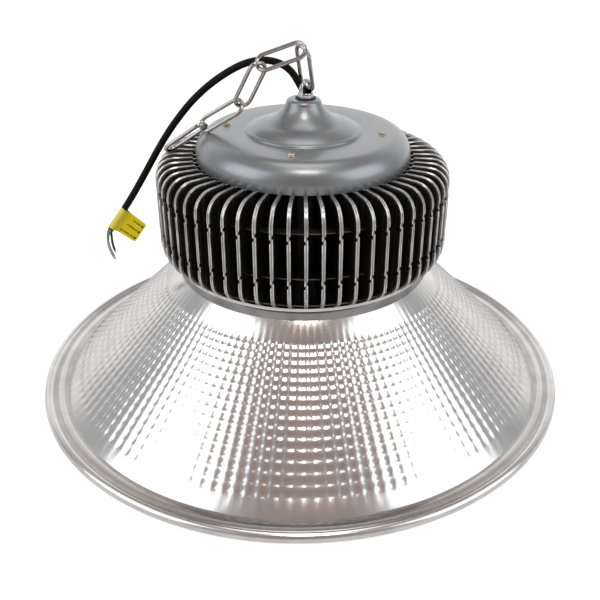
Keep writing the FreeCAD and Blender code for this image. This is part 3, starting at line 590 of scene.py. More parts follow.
def flattened(outline: list[Point], steps: int) -> list[Point]:
    """Points along an outline of lines and arcs.

    Args:
        outline: points; one with a radius and a side starts a minor arc. Its side is 1 where it
            curves left.
        steps: steps in an arc.

    Returns:
        The points, the last joined to the first.
    """
    points = []
    for here, after in zip(outline, outline[1:] + outline[:1]):
        points.append(here[:2])
        if len(here) == 4:
            radius, side = here[2:]
            start, end = Vector(here[:2]), Vector(after[:2])
            chord = end - start
            away = Vector((-chord.y, chord.x)).normalized()
            lift = math.sqrt(max(radius * radius - chord.length_squared / 4, 0.0))
            centre = (start + end) / 2 + away * lift * side
            first = start - centre
            sweep = 2 * math.asin(min(chord.length / 2 / radius, 1.0)) * side
            for index in range(1, steps):
                turned = Matrix.Rotation(sweep * index / steps, 2) @ first
                points.append(tuple(centre + turned))
    return points


class Shape:
    """A mesh in the making, with the operators that these pieces need. Sizes are in millimetres."""

    def __init__(self) -> None:
        """Starts an empty mesh."""
        self.bm = bmesh.new()

    def turn(self, outline: list[Point], steps: int, arc_steps: int = 6) -> "Shape":
        """Spins a closed section round the Z axis.

        Args:
            outline: section as radius and height.
            steps: steps in the full turn.
            arc_steps: steps in an arc of the section.

        Returns:
            The shape itself.
        """
        verts = [self.bm.verts.new((x * MM, 0, z * MM)) for x, z in flattened(outline, arc_steps)]
        edges = [self.bm.edges.new(pair) for pair in zip(verts, verts[1:] + verts[:1])]
        bmesh.ops.spin(self.bm, geom=verts + edges, cent=(0, 0, 0), axis=(0, 0, 1), angle=math.tau,
                       steps=steps, use_merge=True)
        return self.weld()

    def slab(self, outline: list[Point], low: float, high: float, arc_steps: int = 5) -> list:
        """Raises an outline in the XZ plane into a plate.

        Args:
            outline: its outline.
            low: where it starts along Y.
            high: where it ends.
            arc_steps: steps in an arc.

        Returns:
            The plate's edges.
        """
        verts = [self.bm.verts.new((x * MM, low * MM, z * MM)) for x, z in flattened(outline, arc_steps)]
        face = self.bm.faces.new(verts)
        grown = bmesh.ops.extrude_face_region(self.bm, geom=[face])["geom"]
        moved = [item for item in grown if isinstance(item, bmesh.types.BMVert)]
        bmesh.ops.translate(self.bm, verts=moved, vec=(0, (high - low) * MM, 0))
        return list({edge for vert in verts + moved for edge in vert.link_edges})

    def block(self, middle: Point, sides: Point) -> None:
        """Adds a box by its middle and sides."""
        size = Matrix.Diagonal((*(side * MM for side in sides), 1.0))
        place = Matrix.Translation(Vector(middle) * MM)
        bmesh.ops.create_cube(self.bm, size=1.0, matrix=place @ size)

    def soften(self, edges: list, width: float) -> None:
        """Bevels edges."""
        bmesh.ops.bevel(self.bm, geom=edges, offset=width * MM, segments=1, profile=0.5,
                        affect="EDGES", material=-1, clamp_overlap=True)

    def weld(self) -> "Shape":
        """Merges what lies together and turns the faces outwards."""
        bmesh.ops.remove_doubles(self.bm, verts=self.bm.verts, dist=WELD * MM)
        bmesh.ops.dissolve_degenerate(self.bm, edges=self.bm.edges, dist=WELD / 2 * MM)
        bmesh.ops.recalc_face_normals(self.bm, faces=self.bm.faces)
        return self

    def ring(self, count: int, start: float = 0.0) -> "Shape":
        """Repeats the shape round the Z axis.

        Args:
            count: number of copies in the ring.
            start: direction of the first in degrees.

        Returns:
            The shape itself.
        """
        source = self.bm.verts[:] + self.bm.edges[:] + self.bm.faces[:]
        for index in range(1, count):
            made = bmesh.ops.duplicate(self.bm, geom=source)["geom"]
            verts = [item for item in made if isinstance(item, bmesh.types.BMVert)]
            turn = Matrix.Rotation(math.tau * index / count, 3, "Z")
            bmesh.ops.rotate(self.bm, verts=verts, cent=(0, 0, 0), matrix=turn)
        return self.place(Matrix.Rotation(math.radians(start), 4, "Z"))

    def place(self, matrix: Matrix) -> "Shape":
        """Moves the whole shape."""
        bmesh.ops.transform(self.bm, matrix=matrix, verts=self.bm.verts)
        return self

    def add(self, mesh: bpy.types.Mesh, matrix: Matrix) -> None:
        """Adds a copy of a mesh at a place."""
        before = len(self.bm.verts)
        self.bm.from_mesh(mesh)
        self.bm.verts.ensure_lookup_table()
        bmesh.ops.transform(self.bm, matrix=matrix, verts=self.bm.verts[before:])

    def mesh(self, name: str) -> bpy.types.Mesh:
        """Ends the shape as a mesh."""
        made = bpy.data.meshes.new(name)
        self.bm.to_mesh(made)
        self.bm.free()
        return made

    def smooth(self, limit: float = 35.0) -> "Shape":
        """Shades the faces smooth, up to a limit between neighbours.

        Args:
            limit: largest smooth angle in degrees.

        Returns:
            The shape itself.
        """
        for face in self.bm.faces:
            face.smooth = True
        most = math.radians(limit)
        for edge in self.bm.edges:
            edge.smooth = len(edge.link_faces) == 2 and edge.calc_face_angle(0.0) < most
        return self


def carved(host: Shape, cutters: list[Shape]) -> bpy.types.Mesh:
    """Cuts shapes out of another.

    Args:
        host: the solid that is cut.
        cutters: the solids that are taken away.

    Returns:
        What is left.
    """
    body = bpy.data.objects.new("carve_host", host.mesh("carve_host"))
    tools = [bpy.data.objects.new("carve_tool", cutter.mesh("carve_tool")) for cutter in cutters]
    for item in [body, *tools]:
        bpy.context.scene.collection.objects.link(item)
    for tool in tools:
        cut = body.modifiers.new("cut", "BOOLEAN")
        cut.operation = "DIFFERENCE"
        cut.solver = "EXACT"
        cut.object = tool
    graph = bpy.context.evaluated_depsgraph_get()
    left = bpy.data.meshes.new_from_object(body.evaluated_get(graph))
    for item in [body, *tools]:
        used = item.data
        bpy.data.objects.remove(item)
        bpy.data.meshes.remove(used)
    return left


@dataclass(frozen=True)
class Stand:
    """What a finished piece stands for."""

    node: str
    slot: str
    body: str = "housing"


def piece(shape: Shape, stand: Stand, materials: list[bpy.types.Material]) -> bpy.types.Object:
    """Ends a shape as a piece of the light.

    Args:
        shape: the finished shape.
        stand: the node and body that it stands for; its slot is not used.
        materials: its materials, in the order of its faces' indices.

    Returns:
        The piece.
    """
    mesh = shape.mesh(stand.node + "_piece")
    for material in materials:
        mesh.materials.append(material)
    thing = bpy.data.objects.new(stand.node + "_piece", mesh)
    return settle(thing, stand)


def settle(thing: bpy.types.Object, stand: Stand) -> bpy.types.Object:
    """Links a piece, replaces its node and rides its body."""
    bpy.context.scene.collection.objects.link(thing)
    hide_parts(stand.node)
    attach(thing, stand.body)
    LOG.info("%s stands for %s on %s", thing.name, stand.node, stand.body)
    return thing


def tube(name: str, points: list[Point], radius: float, material: bpy.types.Material) -> bpy.types.Object:
    """A round lead along a smooth line.

    Args:
        name: name of the piece.
        points: the line's points in millimetres.
        radius: radius of the lead.
        material: its material.

    Returns:
        The lead, not yet linked.
    """
    curve = bpy.data.curves.new(name, "CURVE")
    curve.dimensions = "3D"
    curve.bevel_depth = radius * MM
    curve.bevel_resolution = LEAD_ROUND
    curve.resolution_u = LEAD_SMOOTH
    curve.use_fill_caps = True
    line = curve.splines.new("NURBS")
    line.points.add(len(points) - 1)
    for spot, point in zip(line.points, points):
        spot.co = (*(part * MM for part in point), 1.0)
    line.order_u = 3
    line.use_endpoint_u = True
    curve.materials.append(material)
    return bpy.data.objects.new(name, curve)


# ---- reflector --------------------------------------------------------------------------------

@dataclass
class Reflector:
    """Spun shade with its rolled rim, flange, pressed cells and neck."""

    shop: Shop
    rim_radius: float = 250.0
    bead_radius: float = 4.5
    flange_top: float = 5.9
    foot_radius: float = 229.2
    sheet: float = 1.2
    neck_radius: float = 115.5
    neck_base: float = 118.0
    neck_top: float = 125.7
    neck_opening: float = 100.0
    band: float = 13.5
    top_band: float = 17.3
    rows: int = 16
    taper: float = 0.217
    columns: int = 134
    cell_depth: float = 0.85
    cell_parts: int = 4
    flange_step: float = 0.12
    step_run: float = 0.5
    ridge: tuple[float, float] = (2.0, 3.0)
    foot_land: float = 1.5
    neck_bend: float = 1.2
    arc_steps: int = 6
    crease: float = 30.0

    def slope(self) -> tuple[float, float, float]:
        """Length, cosine and sine of the cone's slope."""
        run = self.foot_radius - self.neck_radius
        rise = self.neck_base - self.flange_top
        length = math.hypot(run, rise)
        return length, run / length, rise / length

    def row_ways(self) -> list[float]:
        """Distances up the slope at which the rows of cells meet."""
        mean = (self.slope()[0] - self.band - self.top_band) / self.rows
        return [self.band + mean * (index + self.taper * (index - index * (index - 1) / (self.rows - 1)))
                for index in range(self.rows + 1)]

    def row_line(self, inset: float, parts: int) -> list[Point]:
        """Points up the rows of cells.

        Args:
            inset: distance below the outside.
            parts: points in each row.

        Returns:
            The points from the lowest up.
        """
        _, cosine, sine = self.slope()
        ways = self.row_ways()
        fine = [low + (high - low) * part / parts
                for low, high in zip(ways, ways[1:]) for part in range(parts)]
        return [(self.foot_radius - cosine * way - sine * inset,
                 self.flange_top + sine * way - cosine * inset)
                for way in fine + ways[-1:]]

    def section(self) -> list[Point]:
        """The closed section of the whole sheet."""
        _, cosine, sine = self.slope()
        centre = self.rim_radius - self.bead_radius
        top, under = self.flange_top, self.flange_top - self.sheet
        upper = centre - math.sqrt(self.bead_radius**2 - (top - self.bead_radius)**2)
        lower = centre - math.sqrt(self.bead_radius**2 - (under - self.bead_radius)**2)
        middle = (upper + self.foot_radius) / 2
        wall = self.neck_radius - self.sheet
        step, run, bend = self.flange_step, self.step_run, self.neck_bend
        outer, inner = self.ridge
        return [
            (self.rim_radius, self.bead_radius, self.bead_radius, 1), (upper, top),
            (upper - run, top - step), (middle + (outer + run), top - step), (middle + outer, top),
            (middle - inner, top), (middle - (inner + run), top - step),
            (self.foot_radius + self.foot_land, top - step), (self.foot_radius, top),
            *self.row_line(0.0, self.cell_parts), (self.neck_radius, self.neck_base),
            (self.neck_radius, self.neck_top - bend, bend, 1), (self.neck_radius - bend, self.neck_top),
            (self.neck_opening, self.neck_top), (self.neck_opening, self.neck_top - self.sheet),
            (wall, self.neck_top - self.sheet),
            (wall, self.neck_base - self.sheet * (1 - sine) / cosine),
            *reversed(self.row_line(self.sheet, 2)),
            (self.foot_radius - self.sheet * (1 - cosine) / sine, under),
            (lower, under, self.bead_radius, 1), (centre, 0.0, self.bead_radius, 1),
        ]

    def press(self, shape: Shape) -> None:
        """Presses the hollow cells into the cone, through both of its sides."""
        _, cosine, sine = self.slope()
        ways = self.row_ways()
        inward = self.cell_depth * MM
        for vert in shape.bm.verts:
            out = self.foot_radius - math.hypot(vert.co.x, vert.co.y) / MM
            up = vert.co.z / MM - self.flange_top
            way = out * cosine + up * sine
            below = out * sine - up * cosine
            if not (ways[0] < way < ways[-1] and abs(below - self.sheet / 2) < self.sheet):
                continue
            row = next(index for index, high in enumerate(ways[1:]) if way <= high)
            across = 2 * ((way - ways[row]) / (ways[row + 1] - ways[row])) - 1
            angle = math.atan2(vert.co.y, vert.co.x)
            column = 2 * ((angle / math.tau * self.columns) % 1.0) - 1
            depth = inward * (1 - across**2) * (1 - column**2)
            turn = Vector((math.cos(angle) * sine, math.sin(angle) * sine, cosine))
            vert.co -= turn * depth

    def build(self) -> bpy.types.Object:
        """Builds and dresses the reflector."""
        shape = Shape().turn(self.section(), self.columns * self.cell_parts, self.arc_steps)
        self.press(shape)
        for face in shape.bm.faces:
            height = face.calc_center_median().z / MM
            face.material_index = int(height > self.flange_top) + int(height > self.neck_base)
        shape.smooth(self.crease)
        materials = [self.shop.get("flange"), self.shop.get("reflector"), self.shop.get("neck")]
        return piece(shape, Stand("reflector", "spun_aluminium"), materials)


# ---- heat sink --------------------------------------------------------------------------------

@dataclass
class Fins:
    """Ring of stamped fins with folded lips, kinks and interlocking tabs."""

    shop: Shop
    count: int = 60
    start: float = -89.2
    tube_radius: float = 64.0
    radius: float = 130.5
    low: float = 131.0
    top: float = 222.0
    seat_top: float = 220.5
    seat_radius: float = 97.5
    corner: float = 17.0
    sheet: float = 1.0
    lip: float = 3.0
    lip_depth: float = 2.6
    groove: float = 0.45
    kinks: tuple[float, ...] = (197.5, 158.5)
    kink: float = 7.0
    kink_shift: float = 0.9
    kink_lift: float = 1.6
    kink_inset: float = 1.5
    kink_sides: tuple[float, float] = (1.9, 1.1)
    kink_lap: float = 0.4
    lip_bevel: float = 0.28
    tab_radius: float = 114.0
    tab: tuple[float, float] = (8.0, 1.0)
    tab_heights: tuple[float, ...] = (198.0, 158.0, 133.6)
    bottom_run: float = 12.0
    crease: float = 40.0

    def web(self) -> list[Point]:
        """Outline of a fin's flat web, its outer edge behind the lips."""
        out, corner = self.radius - self.groove, self.corner - self.groove
        low, top = self.low + self.groove, self.top - self.groove
        return [
            (self.tube_radius, self.low), (out - corner - self.bottom_run, self.low),
            (out - corner - self.bottom_run, low), (out - corner, low, corner, 1), (out, low + corner),
            (out, top - corner, corner, 1), (out - corner, top), (self.seat_radius, top),
            (self.seat_radius, self.seat_top), (self.tube_radius, self.seat_top),
        ]

    def lips(self) -> list[list[Point]]:
        """Outlines of the stretches of folded lip."""
        out, corner, deep = self.radius, self.corner, self.lip_depth
        upper, lower = self.kinks
        half = self.kink / 2
        inner = corner - deep
        return [
            [(out, upper + half), (out, self.top - corner, corner, 1), (out - corner, self.top),
             (self.seat_radius, self.top), (self.seat_radius, self.top - deep),
             (out - corner, self.top - deep, inner, -1), (out - deep, self.top - corner),
             (out - deep, upper + half)],
            [(out - deep, lower + half), (out, lower + half), (out, upper - half),
             (out - deep, upper - half)],
            [(out, lower - half), (out - deep, lower - half), (out - deep, self.low + corner, inner, -1),
             (out - corner, self.low + deep), (out - corner - self.bottom_run, self.low + deep),
             (out - corner - self.bottom_run, self.low), (out - corner, self.low, corner, 1),
             (out, self.low + corner)],
        ]

    def build(self) -> bpy.types.Object:
        """Builds and dresses the ring of fins."""
        shape = Shape()
        shape.slab(self.web(), -self.sheet / 2, self.sheet / 2)
        for face in shape.bm.faces:
            face.material_index = 1
        for outline in self.lips():
            for side in (-1, 1):
                near, far = sorted((side * self.sheet / 2, side * self.lip / 2))
                shape.soften(shape.slab(outline, near, far), self.lip_bevel)
        across = self.radius - self.kink_inset
        sides = (*self.kink_sides, self.kink / 2 + self.kink_lap)
        for height in self.kinks:
            for way in (1, -1):
                shape.block((across, way * self.kink_shift, height - way * self.kink_lift), sides)
        made = set(shape.bm.faces)
        reach = math.tau * self.tab_radius / self.count - self.sheet
        sides = (self.tab[0], reach, self.tab[1])
        for height in self.tab_heights:
            shape.block((self.tab_radius, (reach + self.sheet) / 2, height), sides)
        for face in set(shape.bm.faces) - made:
            face.material_index = 2
        shape.weld()
        shape.ring(self.count, self.start).smooth(self.crease)
        # The web's faces carry a finish with painted shade, the tabs' faces a finish of painted shade
        return piece(shape, Stand("cooling_fins", "fin_aluminium"),
                     [self.shop.get("lip"), self.shop.get("fins"), self.shop.get("tab")])


# ---- cover ------------------------------------------------------------------------------------

@dataclass
class Cover:
    """Pressed cover with its shoulder and bell."""

    shop: Shop
    seat: float = 220.5
    radius: float = 94.5
    top: float = 244.0
    corner: float = 18.0
    sheet: float = 1.2
    foot: float = 51.4
    foot_rise: float = 1.5
    foot_bend: float = 3.0
    slope_radius: float = 60.0
    waist: tuple[float, float] = (33.0, 252.3)
    hollow: float = 34.0
    neck: tuple[float, float] = (15.6, 267.6)
    cap_radius: float = 15.4
    cap_bend: float = 3.6
    bell_top: float = 271.5
    hole: float = 6.7
    hole_middle: tuple[float, float] = (1.55, 0.55)
    fillet: float = 1.2
    foot_wall: tuple[float, float] = (0.5, 0.6)
    foot_crown: float = 0.9
    waist_share: tuple[float, float] = (0.3, 0.95)
    turn_steps: int = 160
    arc_steps: int = 10
    crease: float = 30.0

    def line(self, inset: float) -> list[Point]:
        """The cover's line at a depth in its sheet.

        Args:
            inset: distance below the outside.

        Returns:
            The line from the seat up to the hole.
        """
        top = self.top - inset
        foot = self.foot - inset
        step = top + self.foot_rise
        near, far = self.foot_wall
        across, down = self.waist_share
        return [
            (self.radius - inset, self.seat),
            (self.radius - inset, self.top - self.corner, self.corner - inset, 1),
            (self.radius - self.corner, top), (foot + self.fillet, top, self.fillet, -1),
            (foot, top + near), (foot, step - far, self.foot_bend, 1),
            (foot - self.foot_bend, step + self.foot_crown, self.slope_radius - inset, 1),
            (self.waist[0] - inset * across, self.waist[1] - inset * down, self.hollow + inset, -1),
            (self.neck[0] - inset, self.neck[1]),
            (self.cap_radius - inset, self.bell_top - self.cap_bend, self.cap_bend - inset, 1),
            (self.cap_radius - self.cap_bend, self.bell_top - inset),
            (self.hole, self.bell_top - inset),
        ]

    def section(self) -> list[Point]:
        """Outside line, then the inside line back down."""
        inside = self.line(self.sheet)
        back = []
        for index in range(len(inside) - 1, -1, -1):
            before = inside[index - 1]
            arc = (before[2], -before[3]) if index > 0 and len(before) == 4 else ()
            back.append((*inside[index][:2], *arc))
        return self.line(0.0) + back

    def build(self) -> bpy.types.Object:
        """Builds and dresses the cover."""
        shape = Shape().turn(self.section(), self.turn_steps, self.arc_steps)
        edge = [vert for vert in shape.bm.verts
                if math.hypot(vert.co.x, vert.co.y) < (self.hole + 0.1) * MM]
        bmesh.ops.translate(shape.bm, verts=edge, vec=Vector((*self.hole_middle, 0.0)) * MM)
        shape.smooth(self.crease)
        return piece(shape, Stand("top_cover", "cover_grey"), [self.shop.get("cover")])


class Facing(Enum):
    """Way in which a screw's head points."""

    UP = 0.0
    DOWN = math.pi


@dataclass
class PanScrews:
    """Ring of pan-head screws with cross recesses."""

    shop: Shop
    stand: Stand
    finish: str
    ring: float
    count: int
    start: float
    seat: float
    facing: Facing
    head: float
    rise: float
    shank: float
    reach: float
    tip: float = 0.7
    recess: tuple[float, float, float] = (1.15, 0.26, 1.2)
    recess_taper: float = 0.55
    first_turn: float = 0.7
    next_turn: float = 2.1
    crease: float = 32.0

    def screw(self) -> bpy.types.Mesh:
        """One screw, seated at the origin with its head up."""
        head, rise = self.head, self.rise
        solid = Shape().turn([
            (0.0, -self.reach), (self.shank * self.tip, -self.reach), (self.shank, -self.reach + 0.4),
            (self.shank, 0.0), (head - 0.15, 0.0), (head, 0.2), (head, rise * 0.45, head * 0.5, 1),
            (head * 0.68, rise * 0.94, head * 2.2, 1), (0.0, rise),
        ], 40, 5)
        length, width, depth = self.recess
        cutters = []
        for angle in (0.0, math.pi / 2):
            cutter = Shape()
            cutter.block((0.0, 0.0, rise), (head * length, head * width, rise * depth))
            for vert in cutter.bm.verts:
                if vert.co.z < rise * MM:
                    vert.co.x *= self.recess_taper
            cutters.append(cutter.place(Matrix.Rotation(angle, 4, "Z")))
        return carved(solid, cutters)

    def build(self) -> bpy.types.Object:
        """Builds and dresses the ring of screws, each turned its own way."""
        screw = self.screw()
        shape = Shape()
        for index in range(self.count):
            turn = Matrix.Rotation(math.radians(self.start) + math.tau * index / self.count, 4, "Z")
            spot = Matrix.Translation(Vector((self.ring, 0.0, self.seat)) * MM)
            spun = Matrix.Rotation(self.first_turn + self.next_turn * index, 4, "Z")
            face = Matrix.Rotation(self.facing.value, 4, "X") @ spun
            shape.add(screw, turn @ spot @ face)
        bpy.data.meshes.remove(screw)
        shape.smooth(self.crease)
        return piece(shape, self.stand, [self.shop.get(self.finish)])


@dataclass
class Washers:
    """Thin washers under the cover's screws."""

    shop: Shop
    ring: float = 68.6
    count: int = 4
    start: float = -98.5
    seat: float = 244.0
    inner: float = 1.6
    outer: float = 3.5
    thickness: float = 0.6
    soft: float = 0.2

    def build(self) -> bpy.types.Object:
        """Builds and dresses the washers."""
        top = self.seat + self.thickness
        shape = Shape().turn([
            (self.inner, self.seat), (self.outer, self.seat), (self.outer, top - self.soft, self.soft, 1),
            (self.outer - self.soft, top), (self.inner, top),
        ], 36, 3)
        shape.place(Matrix.Translation((self.ring * MM, 0.0, 0.0)))
        shape.ring(self.count, self.start).smooth(30.0)
        return piece(shape, Stand("cover_washers", "screw_nickel"), [self.shop.get("nickel")])


# ---- hanging loop and chain -------------------------------------------------------------------

@dataclass
class HangingLoop:
    """Chromed loop with its collar and hollow stem, on a rubber ring."""

    shop: Shop
    middle: tuple[float, float] = (1.55, 0.55)
    angle: float = 57.0
    bore: float = 5.1
    stem: float = 6.4
    stem_base: float = 258.0
    seal_base: float = 271.5
    seal_radius: float = 9.0
    seal: float = 0.8
    collar: float = 7.0
    collar_step: float = 1.9
    upper: float = 6.6
    collar_top: float = 276.8
    arch_rise: float = 2.2
    arch_inner: float = 5.2
    arch_width: float = 4.0
    arch_thickness: float = 3.4
    foot_depth: float = 2.0
    soft: float = 0.35
    chamfer: float = 0.4
    rounding: float = 0.8
    seal_gap: float = 0.1
    round_steps: int = 20
    arch_steps: int = 28

    def home(self) -> Matrix:
        """Place of the loop's own axes."""
        spot = Matrix.Translation(Vector((*self.middle, 0.0)) * MM)
        return spot @ Matrix.Rotation(math.radians(self.angle), 4, "Z")

    def arch(self, shape: Shape) -> None:
        """Adds the arch: an oval section swept over the top, with two straight limbs."""
        centre = (self.collar_top + self.arch_rise) * MM
        middle = self.arch_inner + self.arch_width / 2
        scale = Matrix.Diagonal((self.arch_width / 2 * MM, self.arch_thickness / 2 * MM, 1.0, 1.0))
        place = Matrix.Translation((middle * MM, 0.0, centre)) @ scale
        first = bmesh.ops.create_circle(shape.bm, segments=self.round_steps, radius=1.0,
                                        matrix=place)["verts"]
        edges = list({edge for vert in first for edge in vert.link_edges})
        swept = bmesh.ops.spin(shape.bm, geom=first + edges, cent=(0, 0, centre), axis=(0, -1, 0),
                               angle=math.pi, steps=self.arch_steps)["geom_last"]
        last = [item for item in swept if isinstance(item, bmesh.types.BMEdge)]
        drop = Vector((0.0, 0.0, -(self.arch_rise + self.foot_depth) * MM))
        for rim in (edges, last):
            grown = bmesh.ops.extrude_edge_only(shape.bm, edges=rim)["geom"]
            verts = [item for item in grown if isinstance(item, bmesh.types.BMVert)]
            bmesh.ops.translate(shape.bm, verts=verts, vec=drop)
            open_rim = [item for item in grown if isinstance(item, bmesh.types.BMEdge)]
            bmesh.ops.contextual_create(shape.bm, geom=open_rim)

    def build(self) -> list[bpy.types.Object]:
        """Builds and dresses the loop and its rubber ring."""
        low = self.seal_base + self.seal
        step = low + self.collar_step
        soft, chamfer, rounding = self.soft, self.chamfer, self.rounding
        shape = Shape().turn([
            (self.bore, self.stem_base), (self.stem - chamfer, self.stem_base),
            (self.stem, self.stem_base + chamfer), (self.stem, low),
            (self.collar - soft, low, soft, 1), (self.collar, low + soft),
            (self.collar, step - soft, soft, 1), (self.collar - soft, step), (self.upper, step),
            (self.upper, self.collar_top - rounding, rounding, 1),
            (self.upper - rounding, self.collar_top), (self.bore, self.collar_top),
        ], 72, 4)
        self.arch(shape)
        shape.weld().smooth(40.0).place(self.home())
        loop = piece(shape, Stand("hanging_loop", "loop_chrome"), [self.shop.get("loop")])
        inner = self.stem + self.seal_gap
        seal = Shape().turn([
            (inner, self.seal_base), (self.seal_radius, self.seal_base),
            (self.seal_radius, low - soft, soft, 1), (self.seal_radius - soft, low), (inner, low),
        ], 64, 4)
        seal.smooth(35.0).place(self.home())
        return [loop, piece(seal, Stand("loop_seal", "black_rubber"), [self.shop.get("rubber")])]


@dataclass(frozen=True)
class LinkPlace:
    """Middle of a link in millimetres and its heading, pitch and twist in degrees."""

    middle: Point
    heading: float
    pitch: float
    twist: float

    def matrix(self) -> Matrix:
        """The link's place."""
        turn = Matrix.Rotation(math.radians(self.heading), 4, "Z")
        turn = turn @ Matrix.Rotation(math.radians(self.pitch), 4, "Y")
        turn = turn @ Matrix.Rotation(math.radians(self.twist), 4, "X")
        return Matrix.Translation(Vector(self.middle) * MM) @ turn


@dataclass
class Chain:
    """Five oval links, each on its own body."""

    shop: Shop
    wire: float = 3.5
    length: float = 46.0
    width: float = 18.5
    round_steps: int = 20
    end_steps: int = 26
    places: tuple[LinkPlace, ...] = (
        LinkPlace((0.9, -5.1, 298.4), -107, -67, -32.5),
        LinkPlace((-18.9, -9.3, 308.8), 177.5, 20.5, 134),
        LinkPlace((-45.1, -7.2, 284.4), 162.5, 62.5, -141),
        LinkPlace((-70.5, -4.5, 257.2), 175, 31.5, 142.5),
        LinkPlace((-102.6, -1.8, 236.6), 175, 35, -152.5),
    )

    def link(self) -> Shape:
        """One link: a round section swept along both limbs and round both ends."""
        shape = Shape()
        bend = (self.width - self.wire) / 2 * MM
        reach = (self.length - self.width) / 2 * MM
        place = Matrix.Translation((0.0, bend, 0.0)) @ Matrix.Rotation(math.pi / 2, 4, "Y")
        section = bmesh.ops.create_circle(shape.bm, segments=self.round_steps, radius=self.wire / 2 * MM,
                                          matrix=place)
        rim = list({edge for vert in section["verts"] for edge in vert.link_edges})
        for side in (1, -1):
            rim = self.limb(shape, rim, side * reach)
            rim = self.end(shape, rim, side * reach)
            rim = self.limb(shape, rim, -side * reach)
        return shape.weld()

    def limb(self, shape: Shape, rim: list, way: float) -> list:
        """Carries the section straight on.

        Args:
            shape: the link.
            rim: the section's edges.
            way: distance along X.

        Returns:
            The new section's edges.
        """
        grown = bmesh.ops.extrude_edge_only(shape.bm, edges=rim)["geom"]
        verts = [item for item in grown if isinstance(item, bmesh.types.BMVert)]
        bmesh.ops.translate(shape.bm, verts=verts, vec=(way, 0.0, 0.0))
        return [item for item in grown if isinstance(item, bmesh.types.BMEdge)]

    def end(self, shape: Shape, rim: list, centre: float) -> list:
        """Carries the section half round an end.

        Args:
            shape: the link.
            rim: the section's edges.
            centre: place of the end's centre along X.

        Returns:
            The new section's edges.
        """
        verts = list({vert for edge in rim for vert in edge.verts})
        swept = bmesh.ops.spin(shape.bm, geom=verts + rim, cent=(centre, 0, 0), axis=(0, 0, -1),
                               angle=math.pi, steps=self.end_steps)["geom_last"]
        return [item for item in swept if isinstance(item, bmesh.types.BMEdge)]

    def build(self) -> list[bpy.types.Object]:
        """Builds and dresses the five links."""
        links = []
        for number, spot in enumerate(self.places, start=1):
            shape = self.link().place(spot.matrix()).smooth(60.0)
            stand = Stand(f"chain_link_{number}", "link_chrome", f"link_{number}")
            links.append(piece(shape, stand, [self.shop.get("link")]))
        return links


# ---- cable ------------------------------------------------------------------------------------

